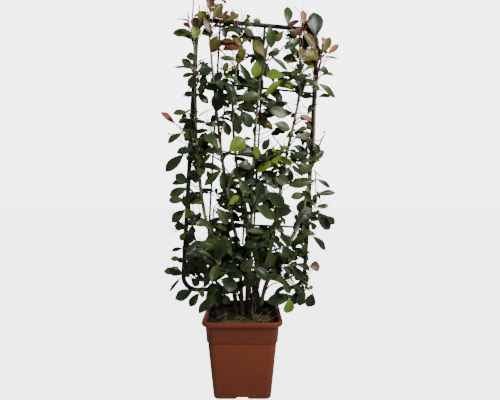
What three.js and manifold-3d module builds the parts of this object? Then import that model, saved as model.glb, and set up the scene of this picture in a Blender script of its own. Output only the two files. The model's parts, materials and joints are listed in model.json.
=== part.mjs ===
// A photinia trained flat on a trellis of steel tube, growing in a square pot.
// Millimetres, +Z up. The origin is the centre of the pot's flat underside, and -Y is the front.
//
// Places on the trellis are given as along (to the right), up and front, measured in its own plane
// from the middle of its lowest bar. The crown is grown by one seeded rule: a spray is a twig with
// one side twig, leaves stand round each twig by the golden angle, and a twig or leaf that would
// touch a limb, the trellis, the pot or another leaf is turned, shortened or left out.
import * as THREE from 'three';
import { mergeVertices } from 'three/addons/utils/BufferGeometryUtils.js';
import Module from 'manifold-3d';

const wasm = await Module();
wasm.setup();

// Driving dimensions

const CLEARANCE = 0.3;
const DEGREE = Math.PI / 180;
const UP = new THREE.Vector3(0, 0, 1);
const STEEP = 0.9;

// Square pot: widths are outside measures, heights are above the ground
const POT_HEIGHT = 289;
const POT_RIM_WIDTH = 292;
const POT_RIM_HEIGHT = 17;
const POT_RIM_BAND = 9;
const POT_SHOULDER_WIDTH = 267;
const POT_LEDGE_HEIGHT = 211;
const POT_LEDGE_STEP = 2.2;
const POT_LEDGE_SLOPE = 2;
const POT_BASE_WIDTH = 211;
const POT_BASE_CHAMFER = 4;
const POT_WALL = 3.5;
const POT_INNER_TOP_WIDTH = 262;
const POT_FLOOR = 12;
const POT_CORNER_STEPS = 4;
const CORNER_RADIUS_INSIDE = 20;
const CORNER_RADIUS_BASE = 23;
const CORNER_RADIUS_SHOULDER = 31;
const CORNER_RADIUS_RIM = 38;
const NOTCH_WIDTH = 48;
const NOTCH_TOP_WIDTH = 36;
const NOTCH_HEIGHT = 10.5;
const NOTCH_DEPTH = 14;

// Rolled rim, from its underside over the top to the inside: below the top, in from the widest
// part, and how much smaller its corner radius is
const RIM_ROLL = [
  [POT_RIM_HEIGHT, 3, 2],
  [14, 0.6, 0],
  [5, 0, 0],
  [1.5, 1.8, 1],
  [0, 5, 2],
  [0.5, 10, 4],
  [3.5, 13.5, 6],
];

// Soil, a little under the rim
const SOIL_TOP = 266;
const GROUND = SOIL_TOP + CLEARANCE;

// Trellis: a parallelogram of tube that leans to the right and is turned a little from the pot
const TRELLIS_WIDTH = 477;
const TRELLIS_HEIGHT = 1028;
const TRELLIS_ORIGIN = new THREE.Vector3(8, 0, 374);
const TRELLIS_TURN = 9.2 * DEGREE;
const TRELLIS_LEAN = 3.1 * DEGREE;
const TRELLIS_FALL = 1.0 * DEGREE;
const TUBE_RADIUS = 8;
const TUBE_SIDES = 10;
const BEND_RADIUS = 56;
const BEND_STEPS = 6;
const HALF_WIDTH = TRELLIS_WIDTH / 2;

// Each leg leaves the lowest bar in a bend and stands in the soil
const LEG_BURIED = 110;
const LEG_BEND = 34;
const LEG_STEPS = 9;
const LEGS = [
  { side: 'left', barEnd: -146, knee: -113, foot: [-97, -17] },
  { side: 'right', barEnd: 166, knee: 131, foot: [82, 18] },
];

// Welded wires: height at the left post and at the right post
const WIRE_RADIUS = 3.2;
const WIRE_SIDES = 6;
const WIRES = [
  { name: 'wire_low', left: 257, right: 239 },
  { name: 'wire_middle', left: 531, right: 502 },
  { name: 'wire_upper', left: 793, right: 776 },
];

// Upright rods behind the wires, from below the lowest one up against the top bar
const ROD_RADIUS = 2.6;
const ROD_BACK = -(WIRE_RADIUS + CLEARANCE + ROD_RADIUS);
const ROD_FOOT = 150;
const ROD_TOP = TRELLIS_HEIGHT - Math.sqrt(TUBE_RADIUS ** 2 - (ROD_BACK + ROD_RADIUS) ** 2) - CLEARANCE;
const RODS = [
  { name: 'rod_left', along: -151 },
  { name: 'rod_centre', along: 24 },
];

// Limbs: a foot on the soil or a parent limb, then the route as along, up, front
const LIMB_SIDES = 6;
const STEM_STEPS = 16;
const BOUGH_STEPS = 8;
const ROOT_FLARE = 3.2;
const ROOT_FLARE_HEIGHT = 22;
const LIMBS = {
  stem_left: {
    foot: [-24, 42],
    route: [
      [-46, 8, -14], [-100, 132, 12], [-160, 250, 18], [-211, 510, 18], [-233, 780, 19], [-246, 935, 20],
    ],
    radius: [8, 2.6],
  },
  stem_inner_left: {
    foot: [-1, 28],
    route: [[-16, 10, -6], [-30, 150, 14], [-66, 262, 18], [-118, 510, 18], [-164, 780, 18], [-193, 985, 20]],
    radius: [8, 2.6],
  },
  stem_middle: {
    foot: [13, 54],
    route: [[15, 10, -26], [12, 140, 4], [8, 262, 15], [4, 510, 17], [10, 780, 17], [18, 900, 17]],
    radius: [7.5, 2.4],
  },
  stem_centre: {
    foot: [37, 32],
    route: [[36, 12, -2], [34, 118, 22], [-6, 262, 38], [-66, 510, 20], [-88, 760, 18], [-62, 960, 20]],
    radius: [8, 2.4],
  },
  stem_inner_right: {
    foot: [50, 62],
    route: [[56, 20, -30], [90, 140, 6], [103, 262, 18], [132, 510, 18], [172, 780, 18], [158, 1000, 22]],
    radius: [8.5, 2.6],
  },
  stem_right: {
    foot: [65, 34],
    route: [[84, 14, 0], [140, 132, 16], [200, 262, 18], [237, 510, 20], [238, 740, 20], [243, 855, 20]],
    radius: [7.5, 2.4],
  },
  bough_low_left: {
    parent: 'stem_left',
    from: -6,
    route: [[-128, 48, 16], [-176, 136, 18], [-214, 226, 18]],
    radius: [4.5, 2.6],
  },
  bough_low_right: {
    parent: 'stem_right',
    from: 44,
    route: [[142, 36, 28], [192, 58, 32]],
    radius: [4, 2.6],
  },
};

const TIP = Infinity;

// Sprays of each limb: the place of its middle as along, up and front, its leaves, and the share of
// its main twig that they stand on. The last spray of a limb grows from its tip.
const SPRAYS = {
  stem_left: [
    [-133, 122, 95, 14, 1],
    [-167, 243, 85, 14, 1],
    [-250, 328, 50, 14, 1],
    [-228, 468, -70, 14, 1],
    [-276, 606, 40, 13, 1],
    [-240, 743, 60, 13, 1],
    [-262, 1010, 10, 11, 0.55],
  ],
  stem_inner_left: [
    [-75, 156, -70, 14, 1],
    [-109, 342, -85, 14, 1],
    [-108, 483, 85, 14, 1],
    [-180, 627, 70, 13, 1],
    [-129, 842, -70, 12, 1],
    [-192, 1038, 15, 12, 1],
  ],
  stem_middle: [
    [-21, 252, -90, 14, 1],
    [61, 462, -95, 14, 1],
    [62, 735, -75, 13, 1],
    [14, 955, 10, 12, 1],
  ],
  stem_centre: [
    [-12, 99, 95, 14, 1],
    [-21, 317, 100, 14, 1],
    [-84, 702, 85, 13, 1],
    [-70, 1020, 10, 12, 1],
  ],
  stem_inner_right: [
    [125, 60, -90, 14, 1],
    [62, 222, 85, 14, 1],
    [158, 355, -80, 14, 1],
    [66, 532, 90, 14, 1],
    [128, 850, 70, 14, 1],
    [167, 1060, 15, 12, 1],
  ],
  stem_right: [
    [166, 112, 60, 14, 1],
    [255, 214, -60, 14, 1],
    [273, 326, 40, 14, 1],
    [186, 470, 70, 14, 1],
    [222, 750, -60, 14, 1],
    [262, 900, 15, 12, 1],
  ],
  bough_low_left: [
    [-249, 33, 40, 13, 1],
    [-266, 240, 20, 13, 1],
  ],
  bough_low_right: [
    [228, -5, 25, 13, 1],
  ],
};

// Growth rule of a spray
const SEED = 2161;
const SPRAY_RISE = 62;
const LOWEST_SPRAY = 30;
const PAST_MIDDLE = 1.3;
const SPRAY_LENGTH = [105, 185];
const GOLDEN_ANGLE = 137.5 * DEGREE;
const ROOT_LENGTH = 9;
const TWIG_SIDES = 3;
const TWIG_STEPS = 3;
const TWIG_RADIUS = [3.4, 2.2];
const SIDE_TWIG_RADIUS = [2.8, 2.0];
const SIDE_TWIG_START = 0.34;
const SIDE_TWIG_LENGTH = 0.62;
const SIDE_TWIG_ANGLE = 52 * DEGREE;
const SIDE_TWIG_SHARE = 0.38;
const SEED_RANGE = 1e9;
const SKYWARD = 0.13;
const WANDER = 0.32;
const LEAF_LENGTH = [80, 111];
const LEAF_ASPECT = 0.37;
const LEAF_THICKNESS = 2.4;
const LEAF_MIDDLE = 0.36;
const LEAF_SHOULDERS = [[0.32, 0.94], [0.7, 0.88]];
const LEAF_ROOT = 0.6;
const LEAF_FOLD = 0.05;
const LEAF_DROOP = 0.07;
const LEAF_SUNK = 0.3;
const LEAF_ANGLE = [74 * DEGREE, 34 * DEGREE];
const ANGLE_SPREAD = 0.3;
const FACING_UP = 0.8;
const FACING_SPREAD = 1.2;
const FIRST_LEAF = 0.24;
const LEAF_TURNS = [0, 46, -46, 92, -92, 140].map((degrees) => degrees * DEGREE);
const LEAF_SIZES = [1, 0.78];
const LEAF_GAP = 2.9;
const LIMB_GAP = 2.2;
const TWIG_TURNS = [0, 35, -35, 70, -70, 110, -110, 150].map((degrees) => degrees * DEGREE);

// The space that the crown keeps to
const CROWN_LEFT = -342;
const CROWN_RIGHT = 314;
const CROWN_TOP = 1132;
const CROWN_DEPTH = 180;
const CROWN_BOTTOM = -92;
const POT_KEEP_OUT = POT_RIM_WIDTH / 2 + 4;
const POT_KEEP_ABOVE = POT_HEIGHT + 4;

// Finishes

const TERRACOTTA = { color: 0x8c4a33, roughness: 0.62, metalness: 0 };
const SOIL = { color: 0x2c2119, roughness: 1, metalness: 0 };
const BLACK_STEEL = { color: 0x1c1d1e, roughness: 0.45, metalness: 0.3 };
const BARK = { color: 0x5d4a38, roughness: 0.9, metalness: 0 };
const GREEN_LEAF = { color: 0x34482a, roughness: 0.45, metalness: 0 };
const BRONZE_LEAF = { color: 0x7d7040, roughness: 0.45, metalness: 0 };
const BRONZE_ABOVE = 860;

const part = new THREE.Group();

function addMesh(name, geometry, finish) {
  const mesh = new THREE.Mesh(geometry, new THREE.MeshStandardMaterial(finish));
  mesh.name = name;
  part.add(mesh);
}

// Closed solids for cutting and joining, and back

function toSolid(geometry) {
  const bare = geometry.clone();
  bare.deleteAttribute('normal');
  bare.deleteAttribute('uv');
  const merged = mergeVertices(bare, 1e-4);
  const vertProperties = new Float32Array(merged.getAttribute('position').array);
  const triVerts = new Uint32Array(merged.getIndex().array);
  return new wasm.Manifold(new wasm.Mesh({ numProp: 3, vertProperties, triVerts }));
}

function toGeometry(solid) {
  const { vertProperties, triVerts } = solid.getMesh();
  const geometry = new THREE.BufferGeometry();
  geometry.setAttribute('position', new THREE.BufferAttribute(new Float32Array(vertProperties), 3));
  geometry.setIndex(new THREE.BufferAttribute(new Uint32Array(triVerts), 1));
  geometry.computeVertexNormals();
  return geometry;
}

// Rounded-square lofts, for the pot and the soil

function roundedSquare(half, cornerRadius, height) {
  const ring = [];
  for (let corner = 0; corner < 4; corner += 1) {
    const start = corner * 90 * DEGREE;
    const centreX = (half - cornerRadius) * Math.SQRT2 * Math.cos(start + 45 * DEGREE);
    const centreY = (half - cornerRadius) * Math.SQRT2 * Math.sin(start + 45 * DEGREE);
    for (let step = 0; step <= POT_CORNER_STEPS; step += 1) {
      const angle = start + (step / POT_CORNER_STEPS) * 90 * DEGREE;
      const x = centreX + cornerRadius * Math.cos(angle);
      ring.push(new THREE.Vector3(x, centreY + cornerRadius * Math.sin(angle), height));
    }
  }
  return ring;
}

// Rows are height, half width and corner radius, from the underside round to the last row
function squareLoft(rows) {
  return skinRings(rows.map(([height, half, radius]) => roundedSquare(half, radius, height)));
}

function mix(a, b, share) {
  return a + (b - a) * share;
}

// The pot's inner wall at a height, as half width and corner radius
const INNER_TOP = POT_HEIGHT - POT_RIM_BAND;
function innerWall(height) {
  const share = (height - POT_FLOOR) / (INNER_TOP - POT_FLOOR);
  const half = mix(POT_BASE_WIDTH / 2 - POT_WALL, POT_INNER_TOP_WIDTH / 2, share);
  return [half, mix(CORNER_RADIUS_INSIDE, CORNER_RADIUS_SHOULDER, share)];
}

function potGeometry() {
  const rim = POT_RIM_WIDTH / 2;
  const base = POT_BASE_WIDTH / 2;
  const shoulder = POT_SHOULDER_WIDTH / 2;
  const rimRow = ([below, inset, smaller]) => [POT_HEIGHT - below, rim - inset, CORNER_RADIUS_RIM - smaller];
  const rimLow = POT_HEIGHT - POT_RIM_HEIGHT;
  const ledgeShare = POT_LEDGE_HEIGHT / rimLow;
  const ledge = mix(base, shoulder, ledgeShare);
  const ledgeRadius = mix(CORNER_RADIUS_BASE, CORNER_RADIUS_SHOULDER, ledgeShare);
  const rows = [
    [0, base - POT_BASE_CHAMFER, CORNER_RADIUS_INSIDE],
    [POT_BASE_CHAMFER, base, CORNER_RADIUS_BASE],
    [POT_LEDGE_HEIGHT - POT_LEDGE_SLOPE, ledge - POT_LEDGE_STEP, ledgeRadius],
    [POT_LEDGE_HEIGHT, ledge, ledgeRadius],
    [rimLow - POT_LEDGE_SLOPE, shoulder, CORNER_RADIUS_SHOULDER],
    ...RIM_ROLL.map(rimRow),
    [INNER_TOP, ...innerWall(INNER_TOP)],
    [POT_FLOOR, ...innerWall(POT_FLOOR)],
  ];
  let pot = toSolid(squareLoft(rows));
  for (let side = 0; side < 4; side += 1) {
    pot = pot.subtract(toSolid(notchGeometry().rotateZ(side * 90 * DEGREE)));
  }
  return toGeometry(pot);
}

// One of the four drain notches, cut in from the front of the base
function notchGeometry() {
  const outline = new THREE.Shape();
  outline.moveTo(-NOTCH_WIDTH / 2, -1);
  outline.lineTo(NOTCH_WIDTH / 2, -1);
  outline.lineTo(NOTCH_TOP_WIDTH / 2, NOTCH_HEIGHT);
  outline.lineTo(-NOTCH_TOP_WIDTH / 2, NOTCH_HEIGHT);
  outline.closePath();
  const cut = new THREE.ExtrudeGeometry(outline, { depth: 2 * NOTCH_DEPTH, bevelEnabled: false });
  return cut.rotateX(90 * DEGREE).translate(0, NOTCH_DEPTH - POT_BASE_WIDTH / 2, 0);
}

// Trellis

const ALONG = new THREE.Vector3(
  Math.cos(TRELLIS_TURN) * Math.cos(TRELLIS_FALL),
  Math.sin(TRELLIS_TURN),
  -Math.sin(TRELLIS_FALL),
);
const RISE = new THREE.Vector3(Math.sin(TRELLIS_LEAN), 0, Math.cos(TRELLIS_LEAN));
const FRONT = new THREE.Vector3(Math.sin(TRELLIS_TURN), -Math.cos(TRELLIS_TURN), 0);

function onTrellis(along, up, front = 0) {
  return TRELLIS_ORIGIN.clone()
    .addScaledVector(ALONG, along)
    .addScaledVector(RISE, up)
    .addScaledVector(FRONT, front);
}

// Heights are read back from a point by solving the two directions of the trellis plane
function trellisPlace(point) {
  const offset = point.clone().sub(TRELLIS_ORIGIN);
  const front = offset.dot(FRONT);
  offset.addScaledVector(FRONT, -front);
  const skew = ALONG.dot(RISE);
  const alongDot = offset.dot(ALONG);
  const riseDot = offset.dot(RISE);
  const scale = 1 - skew * skew;
  return { along: (alongDot - skew * riseDot) / scale, up: (riseDot - skew * alongDot) / scale, front };
}

// A quarter bend between two straight runs that would meet at a corner
class Bend extends THREE.Curve {
  constructor(corner, toStart, toEnd) {
    super();
    this.corner = corner;
    this.toStart = toStart;
    this.toEnd = toEnd;
  }

  getPoint(t, target = new THREE.Vector3()) {
    const angle = t * 90 * DEGREE;
    return target
      .copy(this.corner)
      .addScaledVector(this.toStart, 1 - Math.sin(angle))
      .addScaledVector(this.toEnd, 1 - Math.cos(angle));
  }
}

function polygon(radius, sides) {
  const shape = new THREE.Shape();
  for (let k = 0; k < sides; k += 1) {
    const angle = (k / sides) * 360 * DEGREE;
    const draw = k === 0 ? 'moveTo' : 'lineTo';
    shape[draw](radius * Math.cos(angle), radius * Math.sin(angle));
  }
  shape.closePath();
  return shape;
}

function tubeAlong(path, radius, sides, steps) {
  return new THREE.ExtrudeGeometry(polygon(radius, sides), { extrudePath: path, steps });
}

// What the crown has to clear: straight pieces of tube, wire and limb, each with its radius
const obstacles = [];

function addObstacle(path, radius, steps) {
  let from = path.getPoint(0);
  for (let step = 1; step <= steps; step += 1) {
    const to = path.getPoint(step / steps);
    obstacles.push({ from, to, radius });
    from = to;
  }
}

function addTube(name, path, radius, sides, steps) {
  addMesh(name, tubeAlong(path, radius, sides, steps), BLACK_STEEL);
  addObstacle(path, radius, steps);
}

function straight(from, to) {
  return new THREE.LineCurve3(from, to);
}

function addTrellis() {
  const reach = BEND_RADIUS + CLEARANCE;
  const high = TRELLIS_HEIGHT - reach;
  for (const [side, sign] of [['left', -1], ['right', 1]]) {
    const post = sign * HALF_WIDTH;
    const inward = ALONG.clone().multiplyScalar(-sign * BEND_RADIUS);
    const downward = RISE.clone().multiplyScalar(-BEND_RADIUS);
    const upright = straight(onTrellis(post, reach), onTrellis(post, high));
    addTube(`post_${side}`, upright, TUBE_RADIUS, TUBE_SIDES, 1);
    const topBend = new Bend(onTrellis(post, TRELLIS_HEIGHT), downward, inward);
    addTube(`corner_top_${side}`, topBend, TUBE_RADIUS, TUBE_SIDES, BEND_STEPS);
  }
  const barEnd = HALF_WIDTH - reach;
  const topBar = straight(onTrellis(-barEnd, TRELLIS_HEIGHT), onTrellis(barEnd, TRELLIS_HEIGHT));
  addTube('top_bar', topBar, TUBE_RADIUS, TUBE_SIDES, 1);
  for (const leg of LEGS) {
    addLowCorner(leg);
    addTube(`leg_${leg.side}`, legPath(leg, 0), TUBE_RADIUS, TUBE_SIDES, LEG_STEPS);
  }
  for (const wire of WIRES) {
    const end = HALF_WIDTH - TUBE_RADIUS - CLEARANCE;
    const path = straight(onTrellis(-end, wire.left), onTrellis(end, wire.right));
    addTube(wire.name, path, WIRE_RADIUS, WIRE_SIDES, 1);
  }
  for (const rod of RODS) {
    const path = straight(onTrellis(rod.along, ROD_FOOT, ROD_BACK), onTrellis(rod.along, ROD_TOP, ROD_BACK));
    addTube(rod.name, path, ROD_RADIUS, WIRE_SIDES, 1);
  }
}

// The lower bend of a post with the stub of bar that runs on to the leg
function addLowCorner(leg) {
  const post = Math.sign(leg.barEnd) * HALF_WIDTH;
  const upward = RISE.clone().multiplyScalar(BEND_RADIUS);
  const inward = ALONG.clone().multiplyScalar(-Math.sign(leg.barEnd) * BEND_RADIUS);
  const path = new THREE.CurvePath();
  const bend = new Bend(onTrellis(post, 0), upward, inward);
  path.add(bend);
  path.add(straight(bend.getPoint(1), onTrellis(leg.barEnd, 0)));
  addTube(`corner_low_${leg.side}`, path, TUBE_RADIUS, TUBE_SIDES, BEND_STEPS + 1);
}

// A leg from the end of its stub, round the knee and down into the soil
function legPath(leg, longer) {
  const start = onTrellis(leg.barEnd - Math.sign(leg.barEnd) * CLEARANCE, 0);
  const knee = onTrellis(leg.knee, 0);
  const end = new THREE.Vector3(leg.foot[0], leg.foot[1], SOIL_TOP - LEG_BURIED);
  const down = end.clone().sub(knee).normalize();
  const bendEnd = knee.clone().addScaledVector(down, LEG_BEND);
  const path = new THREE.CurvePath();
  path.add(new THREE.QuadraticBezierCurve3(start, knee, bendEnd));
  path.add(straight(bendEnd, end.addScaledVector(down, longer)));
  return path;
}

function soilGeometry() {
  const gap = CLEARANCE + 0.1;
  const [lowHalf, lowRadius] = innerWall(POT_FLOOR);
  const [topHalf, topRadius] = innerWall(SOIL_TOP);
  const rows = [
    [POT_FLOOR + CLEARANCE, lowHalf - gap, lowRadius],
    [SOIL_TOP, topHalf - gap, topRadius],
  ];
  let soil = toSolid(squareLoft(rows));
  for (const leg of LEGS) {
    const bore = tubeAlong(legPath(leg, CLEARANCE), TUBE_RADIUS + gap, TUBE_SIDES, LEG_STEPS);
    soil = soil.subtract(toSolid(bore));
  }
  return toGeometry(soil);
}

// Limbs and twigs: a ring of vertices round each point of the route, closed by flat ends. The first
// ring is square to the route, or lies in the plane whose normal is the cut

function perpendicular(direction) {
  const helper = Math.abs(direction.z) < STEEP ? UP : ALONG;
  return new THREE.Vector3().crossVectors(direction, helper).normalize();
}

function ringsAlong(points, radii, sides, cut = null) {
  const last = points.length - 1;
  let normal = null;
  return points.map((point, i) => {
    const tangent = points[Math.min(i + 1, last)].clone().sub(points[Math.max(i - 1, 0)]).normalize();
    if (normal) normal.addScaledVector(tangent, -normal.dot(tangent)).normalize();
    else normal = perpendicular(tangent);
    const binormal = new THREE.Vector3().crossVectors(tangent, normal);
    const ring = [];
    for (let k = 0; k < sides; k += 1) {
      const angle = (k / sides) * 360 * DEGREE;
      const spoke = normal.clone().multiplyScalar(radii[i] * Math.cos(angle));
      spoke.addScaledVector(binormal, radii[i] * Math.sin(angle));
      if (cut && i === 0) spoke.addScaledVector(tangent, -spoke.dot(cut) / tangent.dot(cut));
      ring.push(point.clone().add(spoke));
    }
    return ring;
  });
}

// A closed skin over rings that all have the same number of vertices
function skinRings(rings) {
  const sides = rings[0].length;
  const last = (rings.length - 1) * sides;
  const index = [];
  for (let low = 0; low < last; low += sides) {
    for (let k = 0; k < sides; k += 1) {
      const next = (k + 1) % sides;
      const high = low + sides;
      index.push(low + k, low + next, high + next, low + k, high + next, high + k);
    }
  }
  for (let k = 1; k < sides - 1; k += 1) {
    index.push(0, k + 1, k, last, last + k, last + k + 1);
  }
  const geometry = new THREE.BufferGeometry().setFromPoints(rings.flat());
  geometry.setIndex(index);
  return geometry;
}

const grownLimbs = {};

// A stem is cut level at the ground, and a bough is cut along the bark of the stem that it leaves
function limbRoute(limb) {
  const route = limb.route.map(([along, up, front]) => onTrellis(along, up, front));
  if (limb.foot) {
    const foot = new THREE.Vector3(limb.foot[0], limb.foot[1], GROUND);
    return { route: [foot, ...route], cut: UP };
  }
  const { start, outward } = leaveLimb(grownLimbs[limb.parent], limb.from, route[0], limb.radius[0]);
  return { route: [start, start.clone().addScaledVector(outward, ROOT_LENGTH), ...route], cut: outward };
}

// Where a bough or twig leaves its limb: square to it, on the side of the target, and clear of the
// bark over the width of its own root
function leaveLimb(limb, height, target, rootRadius) {
  const { point, tangent } = placeOnLimb(limb, height);
  const outward = target.clone().sub(point);
  outward.addScaledVector(tangent, -outward.dot(tangent)).normalize();
  const rings = [-rootRadius, 0, rootRadius].map((step) => placeOnLimb(limb, height + step).ring);
  const bark = Math.max(...rings.flat().map((vertex) => vertex.sub(point).dot(outward)));
  return { start: point.clone().addScaledVector(outward, bark + CLEARANCE), outward };
}

function placeOnLimb({ points, heights, rings }, height) {
  let i = 0;
  while (i < points.length - 2 && heights[i + 1] < height) i += 1;
  const span = heights[i + 1] - heights[i];
  const share = height === TIP ? 1 : THREE.MathUtils.clamp((height - heights[i]) / span, 0, 1);
  return {
    point: points[i].clone().lerp(points[i + 1], share),
    tangent: points[i + 1].clone().sub(points[i]).normalize(),
    ring: rings[i].map((vertex, k) => vertex.clone().lerp(rings[i + 1][k], share)),
  };
}

function growLimb(name) {
  const limb = LIMBS[name];
  const { route, cut } = limbRoute(limb);
  const steps = limb.foot ? STEM_STEPS : BOUGH_STEPS;
  const points = new THREE.CatmullRomCurve3(route).getPoints(steps);
  const radii = points.map((point, i) => {
    const taper = mix(limb.radius[0], limb.radius[1], i / steps);
    const flare = limb.foot ? ROOT_FLARE * Math.exp((GROUND - point.z) / ROOT_FLARE_HEIGHT) : 0;
    return taper + flare;
  });
  const rings = ringsAlong(points, radii, LIMB_SIDES, cut);
  grownLimbs[name] = { points, rings, heights: points.map((point) => trellisPlace(point).up) };
  for (let i = 0; i < steps; i += 1) {
    obstacles.push({ from: points[i], to: points[i + 1], radius: Math.max(radii[i], radii[i + 1]) });
  }
  addMesh(name, skinRings(rings), BARK);
}

// Distances between straight pieces and leaf faces

function segmentDistance(a, b, c, d) {
  const ux = b.x - a.x;
  const uy = b.y - a.y;
  const uz = b.z - a.z;
  const vx = d.x - c.x;
  const vy = d.y - c.y;
  const vz = d.z - c.z;
  const wx = a.x - c.x;
  const wy = a.y - c.y;
  const wz = a.z - c.z;
  const uu = ux * ux + uy * uy + uz * uz;
  const vv = vx * vx + vy * vy + vz * vz;
  const uv = ux * vx + uy * vy + uz * vz;
  const uw = ux * wx + uy * wy + uz * wz;
  const vw = vx * wx + vy * wy + vz * wz;
  const parallel = uu * vv - uv * uv;
  let s = parallel > 1e-9 ? THREE.MathUtils.clamp((uv * vw - vv * uw) / parallel, 0, 1) : 0;
  const t = THREE.MathUtils.clamp((uv * s + vw) / vv, 0, 1);
  s = THREE.MathUtils.clamp((uv * t - uw) / uu, 0, 1);
  return Math.hypot(wx + s * ux - t * vx, wy + s * uy - t * vy, wz + s * uz - t * vz);
}

// Distance from a point to a face where it stands over the face, else infinite
function pointOverFace(point, face) {
  const height = face.plane.distanceToPoint(point);
  const foot = point.clone().addScaledVector(face.plane.normal, -height);
  return face.triangle.containsPoint(foot) ? Math.abs(height) : Infinity;
}

function piercesFace(a, b, face) {
  const heightA = face.plane.distanceToPoint(a);
  const heightB = face.plane.distanceToPoint(b);
  if (heightA * heightB > 0 || heightA === heightB) return false;
  return face.triangle.containsPoint(a.clone().lerp(b, heightA / (heightA - heightB)));
}

function edgeToLeaf(a, b, leaf) {
  if (leaf.faces.some((face) => piercesFace(a, b, face))) return 0;
  const toEdges = leaf.edges.map(([c, d]) => segmentDistance(a, b, c, d));
  const toFaces = leaf.faces.map((face) => Math.min(pointOverFace(a, face), pointOverFace(b, face)));
  return Math.min(...toEdges, ...toFaces);
}

function leafToLeaf(one, other) {
  let nearest = Infinity;
  for (const [a, b] of one.edges) nearest = Math.min(nearest, edgeToLeaf(a, b, other));
  for (const [a, b] of other.edges) nearest = Math.min(nearest, edgeToLeaf(a, b, one));
  return nearest;
}

// Growth of sprays

// The same seed gives the same plant on every run
function seededRandom(seed) {
  let state = seed >>> 0;
  return () => {
    state = (state + 0x6d2b79f5) >>> 0;
    let mixed = Math.imul(state ^ (state >>> 15), state | 1);
    mixed ^= mixed + Math.imul(mixed ^ (mixed >>> 7), mixed | 61);
    return ((mixed ^ (mixed >>> 14)) >>> 0) / 4294967296;
  };
}

function insideCrown(point) {
  const { along, up, front } = trellisPlace(point);
  const inPotSpace = point.z < POT_KEEP_ABOVE
    && Math.abs(point.x) < POT_KEEP_OUT && Math.abs(point.y) < POT_KEEP_OUT;
  const inWidth = along > CROWN_LEFT && along < CROWN_RIGHT;
  const inHeight = up > CROWN_BOTTOM && up < CROWN_TOP;
  return inWidth && inHeight && Math.abs(front) < CROWN_DEPTH && !inPotSpace;
}

// A leaf: base, two shoulders on each side and tip, folded along the midrib and drooping at the tip
function shapeLeaf(base, direction, normal, length) {
  const across = new THREE.Vector3().crossVectors(normal, direction).normalize();
  const upward = new THREE.Vector3().crossVectors(direction, across).normalize();
  const half = 0.5 * LEAF_ASPECT * length;
  const place = (share, side, lift) => base.clone()
    .addScaledVector(direction, share * length)
    .addScaledVector(across, side * half)
    .addScaledVector(upward, lift * length);
  const [[lowShare, lowWidth], [highShare, highWidth]] = LEAF_SHOULDERS;
  const rim = [
    base,
    place(lowShare, lowWidth, LEAF_FOLD),
    place(highShare, highWidth, LEAF_FOLD - LEAF_DROOP / 2),
    place(1, 0, -LEAF_DROOP),
    place(highShare, -highWidth, LEAF_FOLD - LEAF_DROOP / 2),
    place(lowShare, -lowWidth, LEAF_FOLD),
  ];
  const middle = place(LEAF_MIDDLE, 0, 0);
  const reach = length / 2 + LEAF_THICKNESS;
  return { ...leafFaces(rim, middle), rim, middle, upward, centre: place(0.5, 0, 0), reach };
}

// The faces from the midrib out to the rim, and their edges
function leafFaces(rim, middle) {
  const faces = [];
  const edges = [];
  rim.forEach((corner, i) => {
    const next = rim[(i + 1) % rim.length];
    edges.push([middle, corner], [corner, next]);
    const triangle = new THREE.Triangle(middle, corner, next);
    faces.push({ triangle, plane: triangle.getPlane(new THREE.Plane()) });
  });
  return { faces, edges };
}

function leafSolid(leaf) {
  const thickness = leaf.upward.clone().multiplyScalar(LEAF_THICKNESS / 2);
  const corners = [leaf.middle.clone().add(thickness), leaf.middle.clone().sub(thickness), ...leaf.rim];
  const index = [];
  leaf.rim.forEach((_, i) => {
    const corner = i + 2;
    const next = ((i + 1) % leaf.rim.length) + 2;
    index.push(0, next, corner, 1, corner, next);
  });
  const geometry = new THREE.BufferGeometry().setFromPoints(corners);
  geometry.setIndex(index);
  return toSolid(geometry);
}

const grownLeaves = [];
const grownTwigs = [];
const scratch = new THREE.Vector3();

function leafIsClear(leaf, twig) {
  if (!leaf.rim.every(insideCrown) || !insideCrown(leaf.centre)) return false;
  const solids = [...obstacles, ...grownTwigs.filter((piece) => piece.twig !== twig)];
  for (const piece of solids) {
    const room = piece.radius + LIMB_GAP;
    const nearest = new THREE.Line3(piece.from, piece.to).closestPointToPoint(leaf.centre, true, scratch);
    const far = nearest.distanceTo(leaf.centre) > leaf.reach + room;
    if (!far && edgeToLeaf(piece.from, piece.to, leaf) < room) return false;
  }
  return grownLeaves.every((other) => {
    const far = leaf.centre.distanceTo(other.centre);
    if (far > leaf.reach + other.reach + LEAF_GAP) return true;
    const gap = other.twig === twig ? leafToLeaf(leaf.blade, other.blade) : leafToLeaf(leaf, other);
    return gap > LEAF_GAP;
  });
}

// Leaves of one twig meet at their roots, so only their blades past the root are kept apart
function bladeOf(leaf) {
  const root = leaf.rim[0].clone().lerp(leaf.middle, LEAF_ROOT);
  return leafFaces([root, ...leaf.rim.slice(1)], leaf.middle);
}

// A twig clears the limbs and the other twigs, but not the one that it grows from
function twigIsClear({ points, radii, from }) {
  if (!points.slice(1).every(insideCrown)) return false;
  const others = [...obstacles, ...grownTwigs.filter((piece) => piece.twig !== from)];
  for (let i = 1; i < points.length - 1; i += 1) {
    const room = radii[i] + LIMB_GAP;
    const touches = (piece) => {
      return segmentDistance(points[i], points[i + 1], piece.from, piece.to) < room + piece.radius;
    };
    if (others.some(touches)) return false;
  }
  return true;
}

function twigPoints(start, outward, heading, length, random) {
  const points = [start, start.clone().addScaledVector(outward, ROOT_LENGTH)];
  const bearing = heading.clone();
  for (let step = 0; step < TWIG_STEPS; step += 1) {
    const wander = new THREE.Vector3(random() - 0.5, random() - 0.5, random() - 0.5);
    bearing.addScaledVector(wander, WANDER).addScaledVector(UP, SKYWARD).normalize();
    points.push(points[points.length - 1].clone().addScaledVector(bearing, length / TWIG_STEPS));
  }
  return points;
}

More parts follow.
